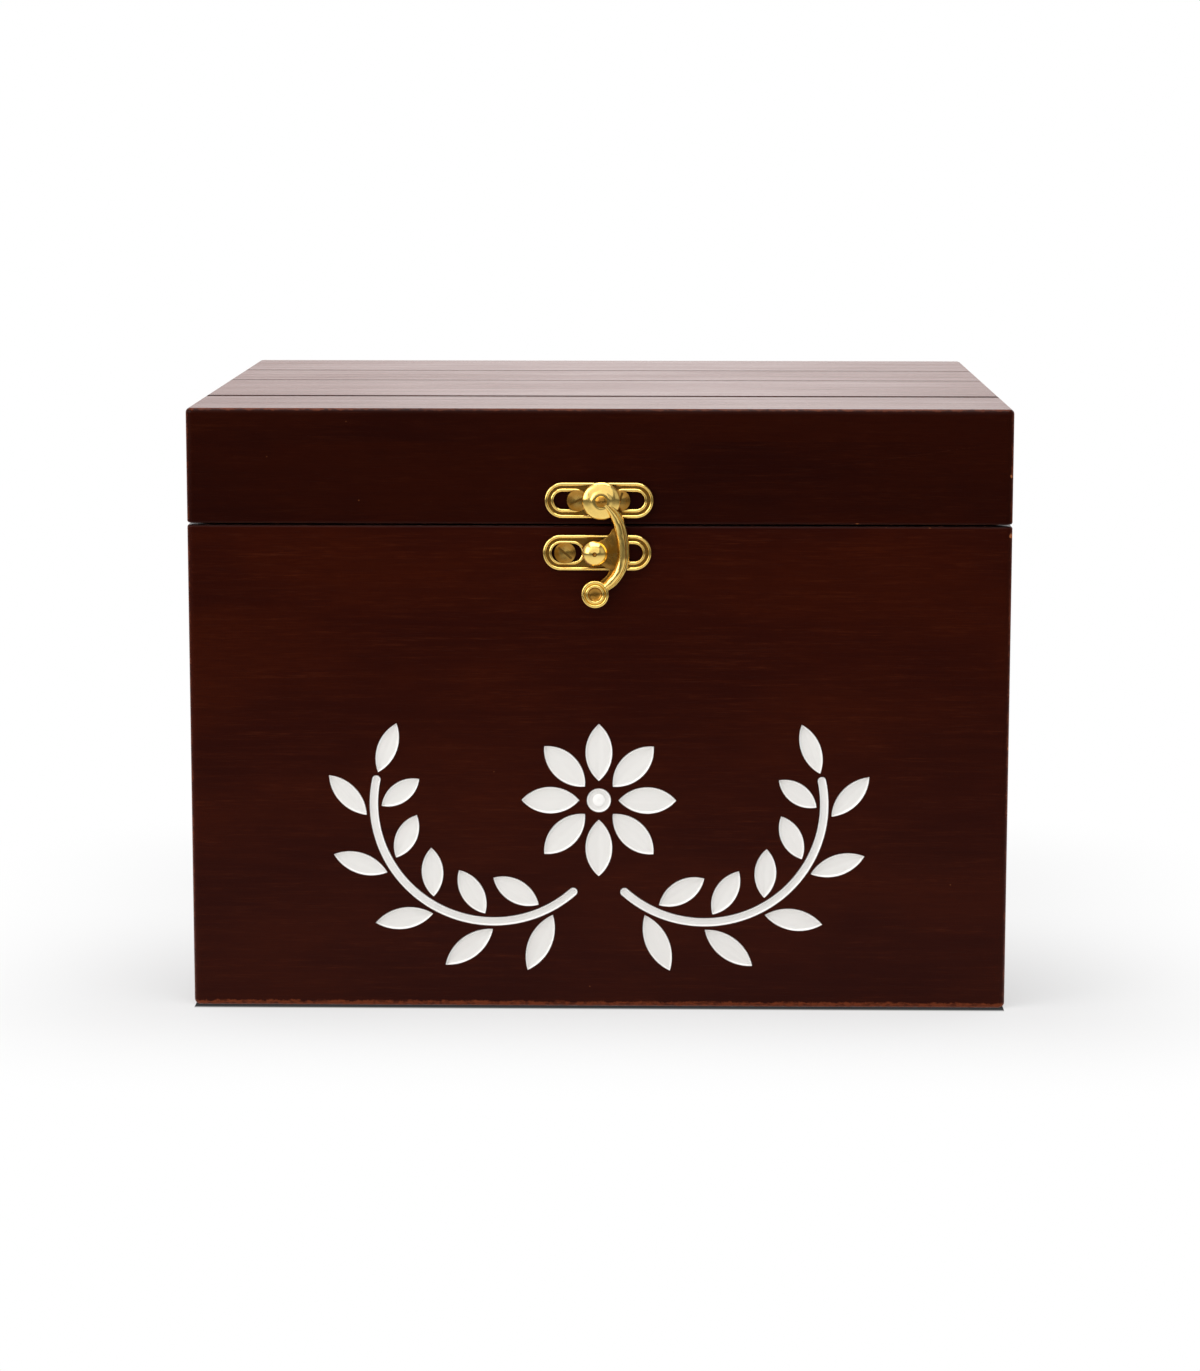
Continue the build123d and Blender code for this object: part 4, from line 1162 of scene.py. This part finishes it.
class MakeLatchPlates(bpy.types.Operator):
    """Draw the two beaded plates of the latch"""

    bl_idname = "card_box.make_latch_plates"
    bl_label = "Make Latch Plates"

    def execute(self, context):
        sizes = context.scene.card_box_latch
        brass = front_brass("polished_brass_plate", context.scene.card_box_brass)
        for node, body in (("latch_lid_plate", "lid"), ("latch_body_plate", "box")):
            x, z = middle(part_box(node))
            mesh = bmesh.new()
            add_plate(mesh, sizes)
            if body == "lid":
                radius, height = sizes.seat_radius, sizes.seat_height
                seat = [(0.0, 0.0), (radius, 0.0), (radius, height), (0.0, height)]
                add_turned(mesh, seat, (PIVOT[0] - x, 0.0))
            finish_piece(f"beaded_{node}", mesh, front_place(x, z), body, "latch_brass", [brass], node)
        return {"FINISHED"}


class MakeHook(bpy.types.Operator):
    """Draw the swinging hook with its boss, arm, blade and finger ring"""

    bl_idname = "card_box.make_hook"
    bl_label = "Make Hook"

    def execute(self, context):
        sizes, look = context.scene.card_box_latch, context.scene.card_box_brass
        base = sizes.seat_height + sizes.hook_gap
        mesh = bmesh.new()
        for add_part in (add_boss, add_arm, add_blade):
            add_part(mesh, sizes, base)
        add_ring(mesh, base)
        brasses = [
            front_brass("polished_brass_hook", look, unevenness=3.5),
            # The darker brass is painted shade on the blade and the ring's dish.
            front_brass("aged_brass_blade", look, unevenness=2.5),
        ]
        place = front_place(PIVOT[0], PIVOT[2])
        finish_piece("swinging_hook", mesh, place, "hook", "latch_brass", brasses, "latch_hook")
        return {"FINISHED"}


class MakeInlay(bpy.types.Operator):
    """Draw the white flower and its two leafy sprays in their pockets"""

    bl_idname = "card_box.make_inlay"
    bl_label = "Make Inlay"

    def execute(self, context):
        sizes = context.scene.card_box_inlay
        mesh = bmesh.new()
        for petal in range(sizes.petals):
            turn = math.pi / 2 + math.tau * petal / sizes.petals
            foot = polar(sizes.petal_start, turn)
            add_dished(mesh, leaf_at(foot, turn, sizes.petal_length, sizes.petal_width), sizes, True)
        for stations, vein in spray_stations(sizes):
            add_dished(mesh, stations, sizes, vein)
            add_dished(mesh, mirrored(stations), sizes, vein)
        self.add_eye(mesh, sizes)
        place = front_place(0.0, sizes.centre_height)
        finish_piece("floral_inlay", mesh, place, "box", "white_enamel", [white_enamel(sizes)], "front_inlay")
        return {"FINISHED"}

    def add_eye(self, mesh, sizes):
        """The flower's eye: a low bead inside a dished rim."""
        top, low, radius = -sizes.rim_recess, -sizes.pocket_depth, sizes.eye_radius
        bead, rise = EYE_BEAD_WIDTH * radius, EYE_BEAD_RISE * sizes.dish_depth
        deep = top - sizes.dish_depth
        profile = [(0.0, low), (radius, low), (radius, top)]
        for slope in fractions(8)[1:]:
            profile.append((radius - sizes.rim_width * slope, top - sizes.dish_depth * smooth_step(slope)))
        for part in fractions(9)[:-1]:
            turn = math.pi / 2 * part
            profile.append((bead * math.cos(turn), deep + rise * math.sin(turn)))
        add_turned(mesh, profile + [(0.0, deep + rise)], steps=56)


class SetStage(bpy.types.Operator):
    """Set a pale floor, soft lamps and the camera"""

    bl_idname = "card_box.set_stage"
    bl_label = "Set Stage"

    lamps = (
        ("overhead", (0.0, -0.15, 1.05), (1.1, 1.0)),
        ("front", (0.0, -1.05, 0.60), (1.5, 0.9)),
        ("back", (0.0, 1.60, 0.55), (2.4, 0.9)),
        ("left", (-1.10, -0.70, 0.60), (0.8, 0.9)),
        ("right", (1.10, -0.70, 0.55), (0.7, 0.8)),
    )

    def execute(self, context):
        look = context.scene.card_box_stage
        context.scene.view_settings.view_transform = "Standard"
        self.add_camera(context.scene, look)
        self.add_floor(look)
        self.set_room(context.scene, look)
        for side, place, size in self.lamps:
            lamp = bpy.data.lights.new(f"{side}_lamp", "AREA")
            lamp.shape = "RECTANGLE"
            lamp.size, lamp.size_y = size
            lamp.energy = getattr(look, f"{side}_power")
            stand = put_in_scene(f"{side}_lamp", lamp)
            stand.location = place
            stand.rotation_euler = (LAMP_TARGET - Vector(place)).to_track_quat("-Z", "Y").to_euler()
            stand.visible_camera = False
        return {"FINISHED"}

    def add_camera(self, scene, look):
        """Stand the camera where it sees the whole front."""
        yaw, pitch = look.camera_yaw, look.camera_pitch
        ahead = Vector((math.sin(yaw) * math.cos(pitch), math.cos(yaw) * math.cos(pitch), -math.sin(pitch)))
        right = Vector((math.cos(yaw), -math.sin(yaw), 0.0))
        turned = Matrix((right, right.cross(ahead), -ahead)).transposed().to_4x4()
        turned @= Matrix.Rotation(look.camera_roll, 4, "Z")
        camera = bpy.data.cameras.new("front_camera")
        camera.sensor_width = 36.0
        camera.lens = look.camera_lens
        camera.clip_start, camera.clip_end = 0.01, 20.0
        scene.camera = put_in_scene("front_camera", camera)
        scene.camera.matrix_world = Matrix.Translation(look.camera_place) @ turned

    def add_floor(self, look):
        """A round pale floor that keeps the box's shadow, with a painted contact shadow along the box's foot,
        and fades to plain white further out.
        """
        mesh = bmesh.new()
        bmesh.ops.create_circle(mesh, cap_ends=True, radius=look.floor_radius, segments=96)
        data = plain_mesh("floor", mesh)
        floor = put_in_scene("floor", data)
        floor.location.z = -FLOOR_SINK

        material, bench = new_material("pale_floor")
        data.materials.append(material)
        eye, mirror = bench.rays()
        place = bench.place()
        beyond = (abs(place) - FOOTPRINT).most((0.0, 0.0, 0.0))
        distance = beyond.sum("LENGTH")
        far = distance.eased(0.0, 0.08, place.parts()[1].eased(-0.085, 0.03, 0.5, 0.86), 1.0)
        # Painted shadow: for the camera, the floor is darkened within a few millimetres of the box's foot,
        # mostly in front of it.
        foot = (beyond * (40.0, 1.0, 0.0)).sum("LENGTH")
        painted_contact_shadow = foot.eased(0.0004, 0.0024, 0.04, 1.0).most(1.0 - eye)
        shade = eye.eased(0.0, 1.0, look.floor_bounce, look.floor_shade)
        plain = bench.wire("ShaderNodeMixShader", {
            0: painted_contact_shadow, 2: bench.wire("ShaderNodeBsdfDiffuse", {"Color": shade}),
        })
        white = bench.white_light("ShaderNodeEmission", 1.0)
        seen = bench.wire("ShaderNodeMixShader", {0: far * painted_contact_shadow * eye, 1: plain, 2: white})
        fading = bench.white_light("ShaderNodeEmission", distance.eased(0.02, 0.60, 1.0, 0.14))
        both = bench.wire("ShaderNodeMixShader", {0: mirror, 1: seen, 2: fading})
        bench.node("ShaderNodeOutputMaterial", {"Surface": both})

    def set_room(self, scene, look):
        """White behind the box for the eye and for reflections, and dim in front of it."""
        scene.world = bpy.data.worlds.new("room")
        bench = empty_bench(scene.world)
        eye, mirror = bench.rays()
        across, depth, _ = bench.wire("ShaderNodeTexCoord", output="Generated").parts()
        side = across.eased(-0.4, 0.4, look.left_reflection, look.right_reflection)
        beside = depth.eased(-0.92, -0.60, look.front_reflection, side)
        screen = abs(across).eased(0.02, 0.13, 1.0, look.screen_falloff)
        level = look.fill_level
        for amount, shown in ((mirror, beside.most(depth.eased(-0.1, 0.35) * screen)), (eye, 1.0)):
            level = bench.wire("ShaderNodeMix", {0: amount, 2: level, 3: shown}, data_type="FLOAT")
        sky = bench.white_light("ShaderNodeBackground", level)
        bench.node("ShaderNodeOutputWorld", {"Surface": sky})


OPERATORS = (FinishWood, FinishHinges, FinishLatchFixings, MakeLatchPlates, MakeHook, MakeInlay, SetStage)


class CardBoxPanel(bpy.types.Panel):
    """Lists the sizes and colours of the box, and the steps that make it"""

    bl_idname = "VIEW3D_PT_card_box"
    bl_label = "Recipe Card Box"
    bl_space_type = "VIEW_3D"
    bl_region_type = "UI"
    bl_category = "Card Box"

    def draw(self, context):
        for name, group in SETTINGS.items():
            column = self.layout.box().column()
            column.label(text=name.replace("card_box_", "").title())
            for setting in group.__annotations__:
                column.prop(getattr(context.scene, name), setting)
        for operator in OPERATORS:
            self.layout.operator(operator.bl_idname)


CLASSES = (*SETTINGS.values(), *OPERATORS, CardBoxPanel)


def register():
    """Register the classes and hang the settings on the scene."""
    for item in CLASSES:
        bpy.utils.register_class(item)
    for name, group in SETTINGS.items():
        setattr(bpy.types.Scene, name, PointerProperty(type=group))


def unregister():
    """Undo register."""
    for name in SETTINGS:
        delattr(bpy.types.Scene, name)
    for item in reversed(CLASSES):
        bpy.utils.unregister_class(item)


def main():
    """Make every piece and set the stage."""
    register()
    bpy.ops.card_box.finish_wood()
    bpy.ops.card_box.finish_hinges()
    bpy.ops.card_box.finish_latch_fixings()
    bpy.ops.card_box.make_latch_plates()
    bpy.ops.card_box.make_hook()
    bpy.ops.card_box.make_inlay()
    bpy.ops.card_box.set_stage()


if __name__ == "__main__":
    main()
